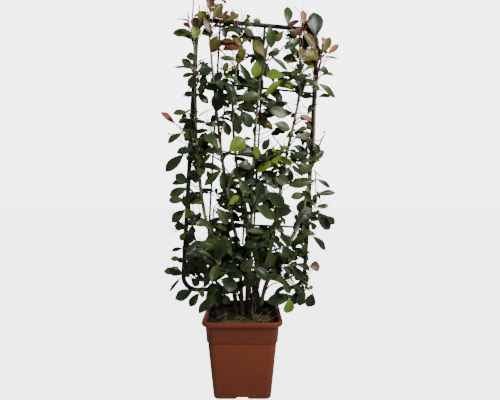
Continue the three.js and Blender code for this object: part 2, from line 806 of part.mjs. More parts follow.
function twigRadii(points, [root, tip]) {
  return points.map((_, i) => mix(root, tip, i / (points.length - 1)));
}

function pointOnTwig(points, share) {
  const place = share * (points.length - 1);
  const i = Math.min(Math.floor(place), points.length - 2);
  return {
    point: points[i].clone().lerp(points[i + 1], place - i),
    tangent: points[i + 1].clone().sub(points[i]).normalize(),
  };
}

function rememberTwig(twig) {
  for (let i = 0; i < twig.points.length - 1; i += 1) {
    grownTwigs.push({ from: twig.points[i], to: twig.points[i + 1], radius: twig.radii[i], twig });
  }
}

// The main twig of a spray, from its limb towards the spray's middle, turned until it is clear
function growMainTwig(spray, random) {
  const limb = grownLimbs[spray.limb];
  const height = spray.atTip ? TIP : Math.max(spray.up - SPRAY_RISE, LOWEST_SPRAY);
  const { point, tangent } = placeOnLimb(limb, height);
  const wanted = onTrellis(spray.along, spray.up, spray.front).sub(point);
  const length = THREE.MathUtils.clamp(wanted.length() * PAST_MIDDLE, ...SPRAY_LENGTH);
  const startTurn = (random() - 0.5) * ANGLE_SPREAD;
  const seed = Math.floor(random() * SEED_RANGE);
  for (const turn of TWIG_TURNS) {
    const heading = wanted.clone().normalize().applyAxisAngle(tangent, startTurn + turn);
    const leave = spray.atTip
      ? { start: point.clone().addScaledVector(tangent, CLEARANCE), outward: tangent }
      : leaveLimb(limb, height, point.clone().add(heading), TWIG_RADIUS[0]);
    const points = twigPoints(leave.start, leave.outward, heading, length, seededRandom(seed));
    const twig = { points, radii: twigRadii(points, TWIG_RADIUS), length, from: null };
    if (twigIsClear(twig)) return twig;
  }
  return null;
}

function growSideTwig(main, random) {
  const { point, tangent } = pointOnTwig(main.points, SIDE_TWIG_START);
  const startTurn = random() * 2 * Math.PI;
  const seed = Math.floor(random() * SEED_RANGE);
  const length = main.length * SIDE_TWIG_LENGTH;
  for (const turn of TWIG_TURNS) {
    const aside = perpendicular(tangent).applyAxisAngle(tangent, startTurn + turn);
    const heading = tangent.clone().multiplyScalar(Math.cos(SIDE_TWIG_ANGLE));
    heading.addScaledVector(aside, Math.sin(SIDE_TWIG_ANGLE));
    const points = twigPoints(point, heading, heading, length, seededRandom(seed));
    const twig = { points, radii: twigRadii(points, SIDE_TWIG_RADIUS), length, from: main };
    if (twigIsClear(twig)) return twig;
  }
  return null;
}

function growLeaves(twig, count, leafyShare, random) {
  const leaves = [];
  const startTurn = random() * 2 * Math.PI;
  for (let i = 0; i < count; i += 1) {
    const share = mix(FIRST_LEAF, leafyShare, i / (count - 1));
    const { point, tangent } = pointOnTwig(twig.points, share);
    const length = mix(LEAF_LENGTH[0], LEAF_LENGTH[1], random());
    const angle = mix(LEAF_ANGLE[0], LEAF_ANGLE[1], share) + (random() - 0.5) * ANGLE_SPREAD;
    const tilt = new THREE.Vector3(random() - 0.5, random() - 0.5, random() - 0.5);
    const turn = startTurn + i * GOLDEN_ANGLE;
    const leaf = placeLeaf({ twig, point, tangent, length, angle, tilt, turn });
    if (!leaf) continue;
    leaf.twig = twig;
    grownLeaves.push(leaf);
    leaves.push(leaf);
  }
  return leaves;
}

// The first turn and size at which the leaf is clear
function placeLeaf({ twig, point, tangent, length, angle, tilt, turn }) {
  for (const size of LEAF_SIZES) {
    for (const extra of LEAF_TURNS) {
      const aside = perpendicular(tangent).applyAxisAngle(tangent, turn + extra);
      const direction = tangent.clone().multiplyScalar(Math.cos(angle));
      direction.addScaledVector(aside, Math.sin(angle));
      const outside = FRONT.clone().multiplyScalar(Math.sign(trellisPlace(point).front));
      const normal = outside.addScaledVector(UP, FACING_UP).addScaledVector(tilt, FACING_SPREAD);
      const base = point.clone().addScaledVector(direction, -LEAF_SUNK);
      const leaf = shapeLeaf(base, direction, normal, length * size);
      leaf.blade = bladeOf(leaf);
      if (leafIsClear(leaf, twig)) return leaf;
    }
  }
  return null;
}

// Everything of a spray becomes one body: scraps are dropped and sealed hollows are filled
function fuse(solids) {
  const joined = solids.reduce((whole, next) => whole.add(next));
  const bodies = joined.decompose().sort((one, other) => other.volume() - one.volume());
  return bodies[0];
}

function listSprays() {
  const sprays = [];
  for (const [limb, rows] of Object.entries(SPRAYS)) {
    rows.forEach(([along, up, front, leaves, leafyShare], i) => {
      const name = `foliage_${limb.replace('stem_', '').replace('bough_', '')}_${i + 1}`;
      const atTip = i === rows.length - 1;
      sprays.push({ name, limb, along, up, front, leaves, leafyShare, atTip });
    });
  }
  return sprays;
}

// All main twigs come first, then the side twigs, then the leaves, so that every spray has its frame
function growCrown() {
  const sprays = listSprays();
  sprays.forEach((spray, i) => {
    spray.random = seededRandom(SEED + i);
    spray.twigs = [growMainTwig(spray, spray.random)];
    if (!spray.twigs[0]) throw new Error(`no room for ${spray.name}`);
    rememberTwig(spray.twigs[0]);
  });
  for (const spray of sprays) {
    const side = growSideTwig(spray.twigs[0], spray.random);
    if (side) {
      spray.twigs.push(side);
      rememberTwig(side);
    }
  }
  for (const spray of sprays) {
    const sideCount = spray.twigs[1] ? Math.round(spray.leaves * SIDE_TWIG_SHARE) : 0;
    spray.grown = growLeaves(spray.twigs[0], spray.leaves - sideCount, spray.leafyShare, spray.random);
    if (sideCount > 1) spray.grown.push(...growLeaves(spray.twigs[1], sideCount, 1, spray.random));
  }
  for (const spray of sprays) {
    const twigs = spray.twigs.map(({ points, radii }) => {
      return toSolid(skinRings(ringsAlong(points, radii, TWIG_SIDES)));
    });
    const leaves = spray.grown.map(leafSolid);
    const finish = spray.up > BRONZE_ABOVE ? BRONZE_LEAF : GREEN_LEAF;
    addMesh(spray.name, toGeometry(fuse([...twigs, ...leaves])), finish);
  }
}

addMesh('pot', potGeometry(), TERRACOTTA);
addMesh('soil', soilGeometry(), SOIL);
addTrellis();
Object.keys(LIMBS).forEach(growLimb);
growCrown();

export default part;
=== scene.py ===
import json
import math

import bpy
import numpy as np
from bpy.props import FloatProperty, FloatVectorProperty, PointerProperty
from mathutils import Euler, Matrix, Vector, noise

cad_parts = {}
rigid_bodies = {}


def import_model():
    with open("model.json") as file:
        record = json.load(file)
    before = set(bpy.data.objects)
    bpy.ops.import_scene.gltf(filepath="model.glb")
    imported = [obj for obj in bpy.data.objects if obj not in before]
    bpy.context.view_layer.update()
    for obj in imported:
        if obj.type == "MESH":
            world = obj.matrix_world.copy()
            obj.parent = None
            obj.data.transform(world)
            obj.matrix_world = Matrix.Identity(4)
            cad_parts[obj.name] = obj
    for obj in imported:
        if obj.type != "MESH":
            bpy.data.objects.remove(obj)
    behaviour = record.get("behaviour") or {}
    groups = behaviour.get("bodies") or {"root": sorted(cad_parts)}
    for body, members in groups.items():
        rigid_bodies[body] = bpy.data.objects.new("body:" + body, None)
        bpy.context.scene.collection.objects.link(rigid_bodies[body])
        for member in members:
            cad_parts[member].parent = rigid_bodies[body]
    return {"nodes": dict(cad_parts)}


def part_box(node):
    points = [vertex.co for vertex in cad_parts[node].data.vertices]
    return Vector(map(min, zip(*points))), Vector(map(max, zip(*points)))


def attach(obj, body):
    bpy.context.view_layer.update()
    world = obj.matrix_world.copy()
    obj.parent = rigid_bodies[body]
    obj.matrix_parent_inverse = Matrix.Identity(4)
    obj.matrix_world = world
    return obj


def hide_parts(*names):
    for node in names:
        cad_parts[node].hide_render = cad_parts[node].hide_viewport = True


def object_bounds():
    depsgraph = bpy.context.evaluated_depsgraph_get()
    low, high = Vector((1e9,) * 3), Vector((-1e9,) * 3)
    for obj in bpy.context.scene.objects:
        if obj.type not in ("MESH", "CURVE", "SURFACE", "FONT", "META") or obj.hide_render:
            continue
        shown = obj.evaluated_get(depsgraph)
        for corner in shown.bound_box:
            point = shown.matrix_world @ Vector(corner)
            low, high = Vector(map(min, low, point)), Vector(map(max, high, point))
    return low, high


bl_info = {
    "name": "Espaliered photinia in a pot",
    "version": (1, 0, 0),
    "blender": (4, 5, 0),
    "location": "View3D > Sidebar > Photinia",
    "description": "Grows a photinia trained flat on a tube trellis, with its pot, soil and studio",
    "category": "Add Mesh",
}

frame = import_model()
MODEL_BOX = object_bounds()

# Units and directions. Tables of places are in millimetres, everything else in metres.
MM = 0.001
DEGREE = math.pi / 180
FULL_TURN = 2 * math.pi
UP = np.array((0.0, 0.0, 1.0))
CLEARANCE = 0.3 * MM

# A direction is steep when its upward part is above this share
STEEP = 0.9

# The trellis stands a little turned and leaning: along, rise and front are its own directions
TRELLIS_ORIGIN = np.array((0.008, 0.0, 0.374))
TRELLIS_TURN = 9.2 * DEGREE
TRELLIS_LEAN = 3.1 * DEGREE
TRELLIS_FALL = 1.0 * DEGREE
ALONG = np.array((
    math.cos(TRELLIS_TURN) * math.cos(TRELLIS_FALL),
    math.sin(TRELLIS_TURN),
    -math.sin(TRELLIS_FALL),
))
RISE = np.array((math.sin(TRELLIS_LEAN), 0.0, math.cos(TRELLIS_LEAN)))
FRONT = np.array((math.sin(TRELLIS_TURN), -math.cos(TRELLIS_TURN), 0.0))

# The frame's half width, height and bend in millimetres, and the radii that plants keep clear of
TRELLIS_HALF = 238.5
TRELLIS_HEIGHT = 1028.0
BEND_RADIUS = 56.0
CLEAR_TUBE_RADIUS = 8 * MM
CLEAR_WIRE_RADIUS = 3.2 * MM

# The legs, in from the lowest bar and down into the soil
LEG_BURIED = 110 * MM
LEG_BEND = 34 * MM
LEGS = {
    "left": {"bar_end": -146, "knee": -113, "foot": (-97, -17)},
    "right": {"bar_end": 166, "knee": 131, "foot": (82, 18)},
}

# Wires and rods of the trellis as (along, up, front) at both ends
WIRES = (
    ((-230, 257, 0), (230, 239, 0)),
    ((-230, 248, -5), (20, 240, -6)),
    ((-230, 531, 0), (230, 502, 0)),
    ((-230, 793, 0), (230, 776, 0)),
)
RODS = (
    ((-151, 150, -6.1), (-151, 1020, -6.1)),
    ((24, 150, -6.1), (24, 1020, -6.1)),
    ((-17, 170, -5.6), (-17, 505, -5.6)),
)

# Limbs: a foot on the soil or a parent limb, then the route as (along, up, front)
SOIL_TOP = 0.266
GROUND = SOIL_TOP + CLEARANCE
LIMB_SIDES = 6
STEM_STEPS = 16
BOUGH_STEPS = 8
ROOT_FLARE = 3.2 * MM
ROOT_FLARE_HEIGHT = 22 * MM
LIMBS = {
    "stem_left": {
        "foot": (-24, 42),
        "route": (
            (-46, 8, -14), (-100, 132, 12), (-160, 250, 18), (-211, 510, 18), (-233, 780, 19),
            (-246, 935, 20),
        ),
        "radius": (8, 2.6),
    },
    "stem_inner_left": {
        "foot": (-1, 28),
        "route": (
            (-16, 10, -6), (-30, 150, 14), (-66, 262, 18), (-118, 510, 18), (-164, 780, 18),
            (-193, 985, 20),
        ),
        "radius": (8, 2.6),
    },
    "stem_middle": {
        "foot": (13, 54),
        "route": (
            (15, 10, -26), (12, 140, 4), (8, 262, 15), (4, 510, 17), (10, 780, 17), (18, 900, 17),
        ),
        "radius": (7.5, 2.4),
    },
    "stem_centre": {
        "foot": (37, 32),
        "route": (
            (36, 12, -2), (34, 118, 22), (-6, 262, 38), (-66, 510, 20), (-88, 760, 18), (-62, 960, 20),
        ),
        "radius": (8, 2.4),
    },
    "stem_inner_right": {
        "foot": (50, 62),
        "route": (
            (56, 20, -30), (90, 140, 6), (103, 262, 18), (132, 510, 18), (172, 780, 18), (158, 1000, 22),
        ),
        "radius": (8.5, 2.6),
    },
    "stem_right": {
        "foot": (65, 34),
        "route": (
            (84, 14, 0), (140, 132, 16), (200, 262, 18), (237, 510, 20), (238, 740, 20), (243, 855, 20),
        ),
        "radius": (7.5, 2.4),
    },
    "bough_low_left": {
        "parent": "stem_left",
        "from": -6,
        "route": ((-128, 48, 16), (-176, 136, 18), (-214, 226, 18)),
        "radius": (4.5, 2.6),
    },
    "bough_low_right": {
        "parent": "stem_right",
        "from": 44,
        "route": ((142, 36, 28), (192, 58, 32)),
        "radius": (4, 2.6),
    },
}

# Middles of each limb's sprays as (along, up, front). The last spray of a limb grows from its tip.
SPRAYS = {
    "stem_left": (
        (-133, 122, 95), (-167, 243, 85), (-250, 328, 50), (-228, 468, -70), (-276, 606, 40),
        (-240, 743, 60), (-262, 1010, 10),
    ),
    "stem_inner_left": (
        (-75, 156, -70), (-109, 342, -85), (-108, 483, 85), (-180, 627, 70), (-129, 842, -70),
        (-192, 1038, 15),
    ),
    "stem_middle": ((-21, 252, -90), (61, 462, -95), (62, 735, -75), (14, 955, 10)),
    "stem_centre": ((-12, 99, 95), (-21, 317, 100), (-84, 702, 85), (-70, 1020, 10)),
    "stem_inner_right": (
        (125, 60, -90), (62, 222, 85), (158, 355, -80), (66, 532, 90), (128, 850, 70), (167, 1060, 15),
    ),
    "stem_right": (
        (166, 112, 60), (255, 214, -60), (273, 326, 40), (186, 470, 70), (222, 750, -60), (262, 900, 15),
    ),
    "bough_low_left": ((-249, 33, 40), (-266, 240, 20)),
    "bough_low_right": ((228, -5, 25),),
}

# Growth rule of a spray's main and side twig
SEED = 2161
SPRAY_RISE = 62
LOWEST_SPRAY = 30
PAST_MIDDLE = 1.3
SPRAY_LENGTH = (105 * MM, 185 * MM)
GOLDEN_ANGLE = 137.5 * DEGREE
ROOT_LENGTH = 9 * MM
TWIG_STEPS = 3
TWIG_RADIUS = (3.4 * MM, 2.2 * MM)
SIDE_TWIG_RADIUS = (2.8 * MM, 2.0 * MM)
SIDE_TWIG_START = 0.34
SIDE_TWIG_LENGTH = 0.62
SIDE_TWIG_ANGLE = 52 * DEGREE
SEED_RANGE = 1e9
SKYWARD = 0.13
WANDER = 0.32
ANGLE_SPREAD = 0.3
LIMB_GAP = 2.2 * MM
TWIG_TURNS = tuple(degrees * DEGREE for degrees in (0, 35, -35, 70, -70, 110, -110, 150))
TIP = math.inf

# The space that the crown keeps to, in the trellis's own directions, and the pot's own space
CROWN_LEFT = -342
CROWN_RIGHT = 314
CROWN_TOP = 1132
CROWN_BOTTOM = -92
CROWN_DEPTH = 180
POT_KEEP_OUT = 0.150
POT_KEEP_ABOVE = 0.293
BOX_MARGIN = 2 * MM

# Where the camera stands
CAMERA_PLACE = np.array((0.0281, -1.44, 0.7423))

# Where the sky or the bare frame shows, seen from the camera: grown leaves keep out of these places
# on the trellis, given as (left, right, low, high) from the top down
OPEN_SKY = (
    (-420, -250, 1040, 1300), (-250, -206, 1066, 1300), (-128, -72, 1078, 1300), (-88, 12, 1050, 1300),
    (10, 98, 1044, 1300), (130, 420, 1079, 1300), (251, 420, 985, 1300), (-345, -268, 992, 1020),
    (-14, 22, 990, 1014), (-192, -165, 955, 995), (-236, -198, 890, 985), (128, 156, 948, 985),
    (72, 104, 925, 965), (-56, -28, 925, 955), (-420, -250, 898, 952), (-125, -90, 916, 934),
    (-138, -90, 905, 930), (-175, -152, 880, 925), (256, 420, 892, 912), (36, 92, 862, 905),
    (-420, -272, 815, 898), (-150, -125, 862, 895), (-66, -28, 840, 895), (-178, -152, 845, 880),
    (205, 228, 845, 868), (262, 420, 800, 845), (36, 58, 800, 826), (-420, -285, 690, 800),
    (-232, -172, 782, 800), (206, 236, 748, 800), (60, 168, 745, 784), (-190, -168, 722, 770),
    (252, 420, 520, 752), (135, 215, 700, 750), (-228, -172, 688, 725), (10, 26, 690, 722),
    (-420, -256, 688, 720), (-135, -112, 672, 705), (-212, -165, 658, 690), (-45, -12, 655, 682),
    (160, 186, 636, 676), (78, 120, 650, 675), (124, 145, 645, 672), (-420, -278, 596, 655),
    (-38, -8, 596, 642), (12, 46, 588, 636), (-216, -176, 610, 634), (-132, -102, 600, 622),
    (88, 128, 574, 622), (-74, -38, 582, 606), (58, 88, 562, 602), (-128, -98, 550, 595),
    (148, 172, 562, 595), (4, 22, 545, 592), (-292, -262, 545, 580), (-420, -300, 512, 568),
    (-172, -135, 472, 520), (-104, -72, 465, 508), (-55, -4, 488, 506), (256, 420, 446, 500),
    (-282, -248, 428, 490), (165, 205, 438, 455), (-180, -125, 390, 452), (-420, -302, 368, 432),
    (272, 330, 383, 415), (-218, -200, 376, 408), (86, 106, 378, 400), (128, 160, 345, 392),
    (-176, -138, 340, 362), (158, 190, 322, 350), (285, 420, 308, 346), (-420, -298, 100, 345),
    (-300, -258, 310, 335), (-174, -132, 278, 325), (-218, -186, 300, 318), (150, 176, 255, 318),
    (34, 78, 272, 294), (-275, -250, 255, 290), (20, 90, 252, 280), (256, 300, 205, 252),
    (128, 172, 200, 242), (-420, -252, 172, 240), (-216, -160, 190, 235), (-58, -14, 180, 228),
    (250, 285, 160, 198), (-420, -250, 126, 152), (262, 420, 60, 150), (-420, -252, 90, 112),
    (-420, -306, 20, 110), (164, 190, 28, 55), (268, 420, -100, 50), (-420, -240, -5, 40),
    (-245, -222, -40, 34), (66, 112, -45, 25), (118, 150, -22, 4), (-206, -178, -58, -20),
    (-420, -172, -300, -45), (150, 420, -300, -70), (-172, -90, -300, -84),
)

# Finer twigs that only the visible plant has, as (which twig of the spray they leave, at what share
# of it, length as a share of its length)
FINE_TWIGS = ((0, 0.5, 0.42), (0, 0.74, 0.34), (1, 0.55, 0.5))
FINE_SEED = 9000
PLACED_SEED = 9500
LEAF_SEED = 18000
STEM_LEAF_SEED = 27000
FINE_TWIG_ANGLE = 46 * DEGREE
REAL_TWIG_RADIUS = (1.9 * MM, 1.1 * MM)
REAL_FINE_RADIUS = (1.6 * MM, 1.1 * MM)
SHOOT_RADIUS = (2.2 * MM, 1.5 * MM)
BARE_SHOOT_RADIUS = (3.0 * MM, 2.4 * MM)
PETIOLE_RADIUS = 0.75 * MM
PETIOLE_LENGTH = 0.11
PETIOLE_FLARE = 1.3

# Leaves: outline as half widths along the blade, and how they are held
LEAF_STATIONS = np.array((0.0, 0.08, 0.2, 0.35, 0.5, 0.65, 0.8, 0.92, 1.0))
LEAF_WIDTHS = np.array((0.0, 0.17, 0.48, 0.8, 0.97, 1.0, 0.77, 0.36, 0.0))
LEAF_ACROSS = np.array((-1.0, -0.5, 0.0, 0.5, 1.0))
LEAF_THICKNESS = 0.7 * MM
LEAF_ANGLES = (74 * DEGREE, 34 * DEGREE)
LEAF_TURNS = tuple(degrees * DEGREE for degrees in (0, 46, -46, 92, -92, 140))
LEAF_SIZES = (1.0, 0.8, 0.64)
LEAF_SAG = 0.24
LEAF_DROOP = (0.25, 1.15)
LEAF_FOLD = (8 * DEGREE, 34 * DEGREE)
LEAF_GAP = 5 * MM
LEAF_ROD_GAP = 2 * MM
LEAVES_FROM = 0.2
NEIGHBOUR_REACH = 0.12
FACING_UP = 0.8
FACING_SPREAD = 1.2

# Colours of the leaves as (upper side, underside, margin), dealt out by twig
TONES = {
    # Deep green is the old leaves' own colour, and also painted shade on leaves that stand in the crown's
    # shade
    "deep_green": ((0.0185, 0.033, 0.012), (0.05, 0.08, 0.028), (0.03, 0.05, 0.012)),
    "green": ((0.04, 0.066, 0.0165), (0.073, 0.118, 0.036), (0.06, 0.07, 0.014)),
    # Light green is partly painted light: leaves lit by the sun, with the paler green of new growth
    "light_green": ((0.12, 0.205, 0.02), (0.16, 0.24, 0.05), (0.14, 0.16, 0.02)),
    "olive": ((0.1, 0.1, 0.017), (0.19, 0.18, 0.045), (0.11, 0.03, 0.012)),
    "bronze": ((0.11, 0.048, 0.018), (0.24, 0.125, 0.045), (0.1, 0.02, 0.012)),
    "dark_red": ((0.1, 0.022, 0.02), (0.2, 0.06, 0.045), (0.12, 0.015, 0.015)),
    "coral": ((0.34, 0.095, 0.066), (0.36, 0.13, 0.09), (0.3, 0.05, 0.036)),
}
YOUNG_TONES = ("olive", "bronze", "dark_red", "coral")

# How the tones are shared out, up to each height on the trellis. The larger share of deep green low down is
# partly painted shade on the lower crown.
TONE_SHARES = (
    (330, (("deep_green", 0.64), ("green", 0.36))),
    (680, (("deep_green", 0.5), ("green", 0.42), ("light_green", 0.08))),
    (860, (("deep_green", 0.34), ("green", 0.38), ("light_green", 0.12), ("olive", 0.16))),
    (math.inf, (("deep_green", 0.12), ("green", 0.24), ("olive", 0.5), ("bronze", 0.14))),
)
SPRAY_TONE_SHARE = 0.4

# Leaves that sit on the stems themselves, from this height up
STEM_LEAVES_FROM = 300
STEM_LEAF_SPACING = 24 * MM
STEM_LEAF_RUN = 4

# Leaves that stand out in the crown, by tone: base (along, up), bearing in degrees from the right,
# length, and width in hundredths of the length
PLACED_LEAVES = {
    "green": (
        (-250, 957, 174, 74, 44), (34, 1013, -80, 80, 46), (101, 1014, 88, 78, 42),
        (230, 802, -30, 91, 27), (-226, 740, -35, 54, 48), (-80, 868, 175, 67, 34),
        (-230, 814, 15, 43, 65), (-254, 662, -175, 51, 43), (-234, 638, 180, 55, 47),
        (-268, 590, -150, 68, 34), (-238, 388, -157, 76, 40), (-250, 342, 178, 54, 52),
        (-245, 308, -135, 66, 50), (-250, 124, 170, 37, 49), (-258, 84, 180, 49, 52),
        (246, 371, 10, 78, 28), (252, 428, -170, 105, 34), (148, 410, 155, 62, 57), (6, 80, -90, 69, 60),
        (20, 124, -140, 61, 65), (64, 148, -160, 49, 65), (84, 158, -85, 70, 50), (24, 925, -115, 72, 50),
        (150, 585, 20, 62, 50), (128, 930, 65, 52, 50), (204, 498, 32, 84, 42), (224, 500, 172, 48, 50),
        (-120, 640, -70, 58, 50), (252, 912, 2, 66, 14), (-77, 723, 16, 90, 40), (-12, 726, 5, 80, 22),
        (156, 612, 20, 46, 40), (-48, 534, 0, 60, 50), (-159, 518, -137, 50, 35),
        (-117, 459, -137, 86, 31), (-50, 425, -60, 56, 55), (214, 370, -172, 58, 50),
        (8, 330, -29, 106, 36), (252, 323, 8, 50, 36), (-238, 244, 172, 42, 66), (42, 900, -28, 88, 24),
        (-205, 757, 12, 60, 56), (221, 749, 177, 46, 60), (66, 636, -12, 68, 56), (42, 697, -14, 82, 50),
        (-226, 580, 175, 40, 65), (-248, 824, 172, 66, 15), (-132, 317, -51, 72, 48),
        (115, 207, -16, 60, 50), (240, 493, -146, 76, 42), (-170, 188, 30, 64, 50),
        (258, 218, 169, 54, 42), (-193, 625, 5, 52, 40), (-234, 569, 178, 30, 70),
        (216, 184, -95, 34, 60), (78, 196, -90, 36, 50), (-216, 250, -88, 34, 70), (90, 465, 8, 40, 50),
    ),
    # Light green leaves: painted sunlight on lit leaves, and the paler green of new growth
    "light_green": (
        (-246, 934, 80, 58, 58), (2, 874, -106, 64, 56), (102, 822, 178, 70, 60), (98, 808, -140, 94, 29),
        (-96, 526, 42, 80, 66), (-2, 558, -65, 57, 44), (-88, 326, 45, 55, 40), (162, -24, -87, 61, 68),
        (248, 16, -45, 24, 65), (166, 884, -12, 58, 45),
    ),
    "olive": (
        (-228, 998, 80, 52, 60), (-218, 1022, -60, 62, 41), (-185, 1004, 64, 78, 35),
        (-132, 1005, 32, 52, 45), (-68, 1016, 30, 30, 57), (88, 996, -120, 48, 45),
        (160, 998, -45, 77, 45), (154, 882, 30, 76, 55), (154, 882, 155, 61, 65), (244, 915, 68, 78, 40),
        (-130, 812, 80, 46, 45), (20, 880, 125, 78, 50), (-64, 922, 130, 61, 43), (-64, 934, 65, 68, 40),
        (-160, 956, -115, 59, 50), (156, 886, 75, 50, 60), (18, 830, 95, 58, 45),
        (-50, 917, -127, 62, 50), (154, 890, 122, 58, 50), (176, 900, 8, 58, 56), (196, 614, -95, 44, 60),
        (-63, 924, -100, 44, 50), (223, 914, 180, 44, 55), (-241, 227, -115, 34, 60),
        (-69, 939, -95, 42, 45), (28, 906, 178, 50, 50),
    ),
    # Deep green leaves also fill the dark places of the crown, as painted shade
    "deep_green": (
        (219, 984, 95, 95, 60), (242, 850, 20, 38, 75), (-240, 816, 135, 59, 49),
        (-220, 788, -150, 49, 65), (-232, 742, -160, 36, 60), (-222, 528, -175, 65, 44),
        (-258, 511, -137, 92, 37), (-236, 412, -175, 62, 35), (-246, 164, -170, 40, 36),
        (248, 434, -25, 70, 26), (256, 302, -44, 90, 52), (296, 290, -40, 48, 51),
        (248, 212, -40, 82, 31), (-200, 10, -155, 70, 52), (-178, 2, -124, 60, 46),
        (-128, -4, -123, 85, 34), (-246, 58, -130, 67, 16), (262, -12, -103, 60, 64),
        (182, -18, -168, 102, 40), (-60, 32, -130, 44, 65), (152, 560, -20, 66, 45),
        (14, 880, -70, 66, 50), (214, 528, -172, 66, 45), (226, 572, -60, 46, 55), (206, 0, -110, 66, 50),
        (176, 24, -40, 58, 50), (-92, 390, -60, 60, 50), (-224, 795, 38, 60, 50), (-222, 958, 20, 46, 85),
        (-125, 994, -20, 56, 50), (-76, 992, -25, 56, 50), (-78, 858, -53, 88, 28),
        (6, 800, -170, 66, 60), (96, 922, 50, 42, 60), (68, 772, -62, 60, 50), (-136, 760, -101, 88, 52),
        (-104, 806, -10, 60, 60), (-62, 682, -48, 74, 60), (-78, 650, -70, 60, 50),
        (76, 722, -155, 50, 42), (206, 560, -20, 60, 50), (-122, 528, 178, 60, 40),
        (-113, 457, 164, 86, 26), (-66, 478, 0, 62, 50), (30, 415, 170, 60, 50), (-50, 385, -100, 50, 60),
        (57, 380, -38, 88, 50), (158, 306, 178, 50, 80), (177, 251, 47, 104, 40), (-98, 12, 170, 50, 60),
        (128, 92, -20, 56, 50), (212, -6, -96, 50, 66), (-222, 122, -95, 56, 50), (42, 906, 25, 42, 60),
        (-140, 985, -80, 40, 50), (134, 800, -20, 50, 50), (200, 838, -155, 56, 45),
        (50, 765, -40, 60, 50), (196, 590, -50, 62, 55), (-70, 520, 8, 66, 40), (-232, 858, 150, 40, 60),
        (-238, 808, -165, 44, 40), (-58, 1022, 60, 26, 60), (-240, 402, 141, 56, 55),
        (100, 236, -10, 36, 60), (40, 425, -10, 50, 50), (-218, 244, -95, 60, 55),
        (-100, 44, -20, 62, 70), (-88, -8, -60, 46, 60), (196, 4, -40, 50, 50), (163, 96, -42, 76, 45),
        (-183, 117, -70, 50, 50), (150, 465, -90, 46, 55), (204, 353, -110, 52, 50),
        (239, 265, -60, 36, 60), (70, 898, 178, 40, 50), (-3, 877, -105, 46, 50),
        (-207, 858, -85, 44, 55), (-205, 809, -88, 46, 60), (-235, 866, 170, 34, 60),
        (134, 515, 0, 34, 60), (72, 620, -10, 46, 55), (-56, 674, -88, 44, 55), (45, 746, 5, 34, 80),
        (165, 668, -5, 40, 35), (123, 205, -38, 48, 42), (-83, 202, -8, 48, 50), (-121, 246, -90, 28, 80),
        (-236, 120, 180, 26, 70), (-119, 35, -45, 66, 30), (-104, 47, 4, 40, 40), (-7, 64, -90, 30, 60),
        (154, 76, -90, 34, 60), (159, 99, 0, 30, 70), (63, 403, -10, 36, 50), (24, 438, -10, 38, 60),
        (-67, 383, 0, 32, 60), (-69, 307, 0, 46, 45), (-133, 368, 0, 30, 50), (-172, 453, -70, 30, 60),
        (59, 583, -120, 50, 50), (97, 982, -6, 44, 50), (161, 986, -60, 54, 45), (107, 928, -20, 36, 60),
        (-81, 504, -5, 58, 30), (-160, 525, -10, 42, 40), (200, 560, -88, 50, 35),
        (-214, 445, -88, 40, 60), (-210, 50, -40, 42, 60), (-61, 333, 0, 34, 70), (115, 232, -60, 50, 45),
        (142, 482, -40, 44, 40), (59, 598, 20, 44, 50), (-170, 604, -170, 56, 30),
        (-214, 773, -80, 40, 60), (97, 989, -8, 46, 60), (-123, 928, 175, 28, 80),
        (-108, 997, 178, 44, 40), (-228, 616, -88, 48, 42), (-133, 655, 30, 50, 35),
        (-81, 689, 0, 34, 50), (148, 794, -70, 40, 50), (49, 753, 5, 36, 70),
    ),
    "bronze": (
        (-142, 906, 25, 70, 60), (-196, 1042, 90, 68, 41), (206, 578, 100, 38, 60),
        (156, 1010, -130, 52, 46), (169, 980, -75, 48, 42), (-146, 943, -124, 56, 50),
        (-36, 1018, 10, 34, 50), (236, 92, 5, 44, 80), (-141, 926, 0, 40, 60), (-94, 939, 178, 50, 40),
    ),
    "coral": (
        (-297, 619, 134, 74, 28), (270, 918, 47, 58, 36), (250, 947, 96, 40, 35), (163, 1018, 95, 56, 42),
        (182, 1024, 50, 23, 53), (196, 820, 70, 25, 54), (166, 674, -15, 54, 41),
        (-190, 1044, 45, 38, 30), (282, 608, 120, 18, 34),
    ),
    "dark_red": (
        (156, 1046, -155, 57, 32), (166, 940, 100, 40, 29), (-144, 1026, 55, 28, 41),
        (-258, 968, 150, 34, 47), (-120, 1042, 40, 19, 60), (-26, 1014, 65, 16, 65),
    ),
}
PLACED_FRONTS = (34, 42, 50, 58)
PLACED_DROOP = (0.2, 0.6)
PLACED_TILT = 0.34
PLACED_FOLD = (4 * DEGREE, 18 * DEGREE)
PLACED_GROWTH = 1.06
PLACED_SPREAD = 1.1
PLACED_UPWARD = 0.3
PLACED_FORWARD = 0.3
PLACED_BACKWARD = 0.3
SHOOT_DROP = 26 * MM
BARE_SHOOT_DROP = 130 * MM
SHOOT_BEND = 14 * MM
SHOOT_SAG = 6 * MM
SHOOT_STEPS = 6

# Tips of thin shoots with no leaves yet, as (along, up, front)
BARE_SHOOTS = (
    (-274, 1042, 14), (-256, 1092, 12), (-232, 1072, 22), (283, 609, 12), (204, 902, 20), (40, 1004, 20),
    (276, 600, 22), (-108, 1068, 24), (236, 560, 60), (-120, 700, 60),
)

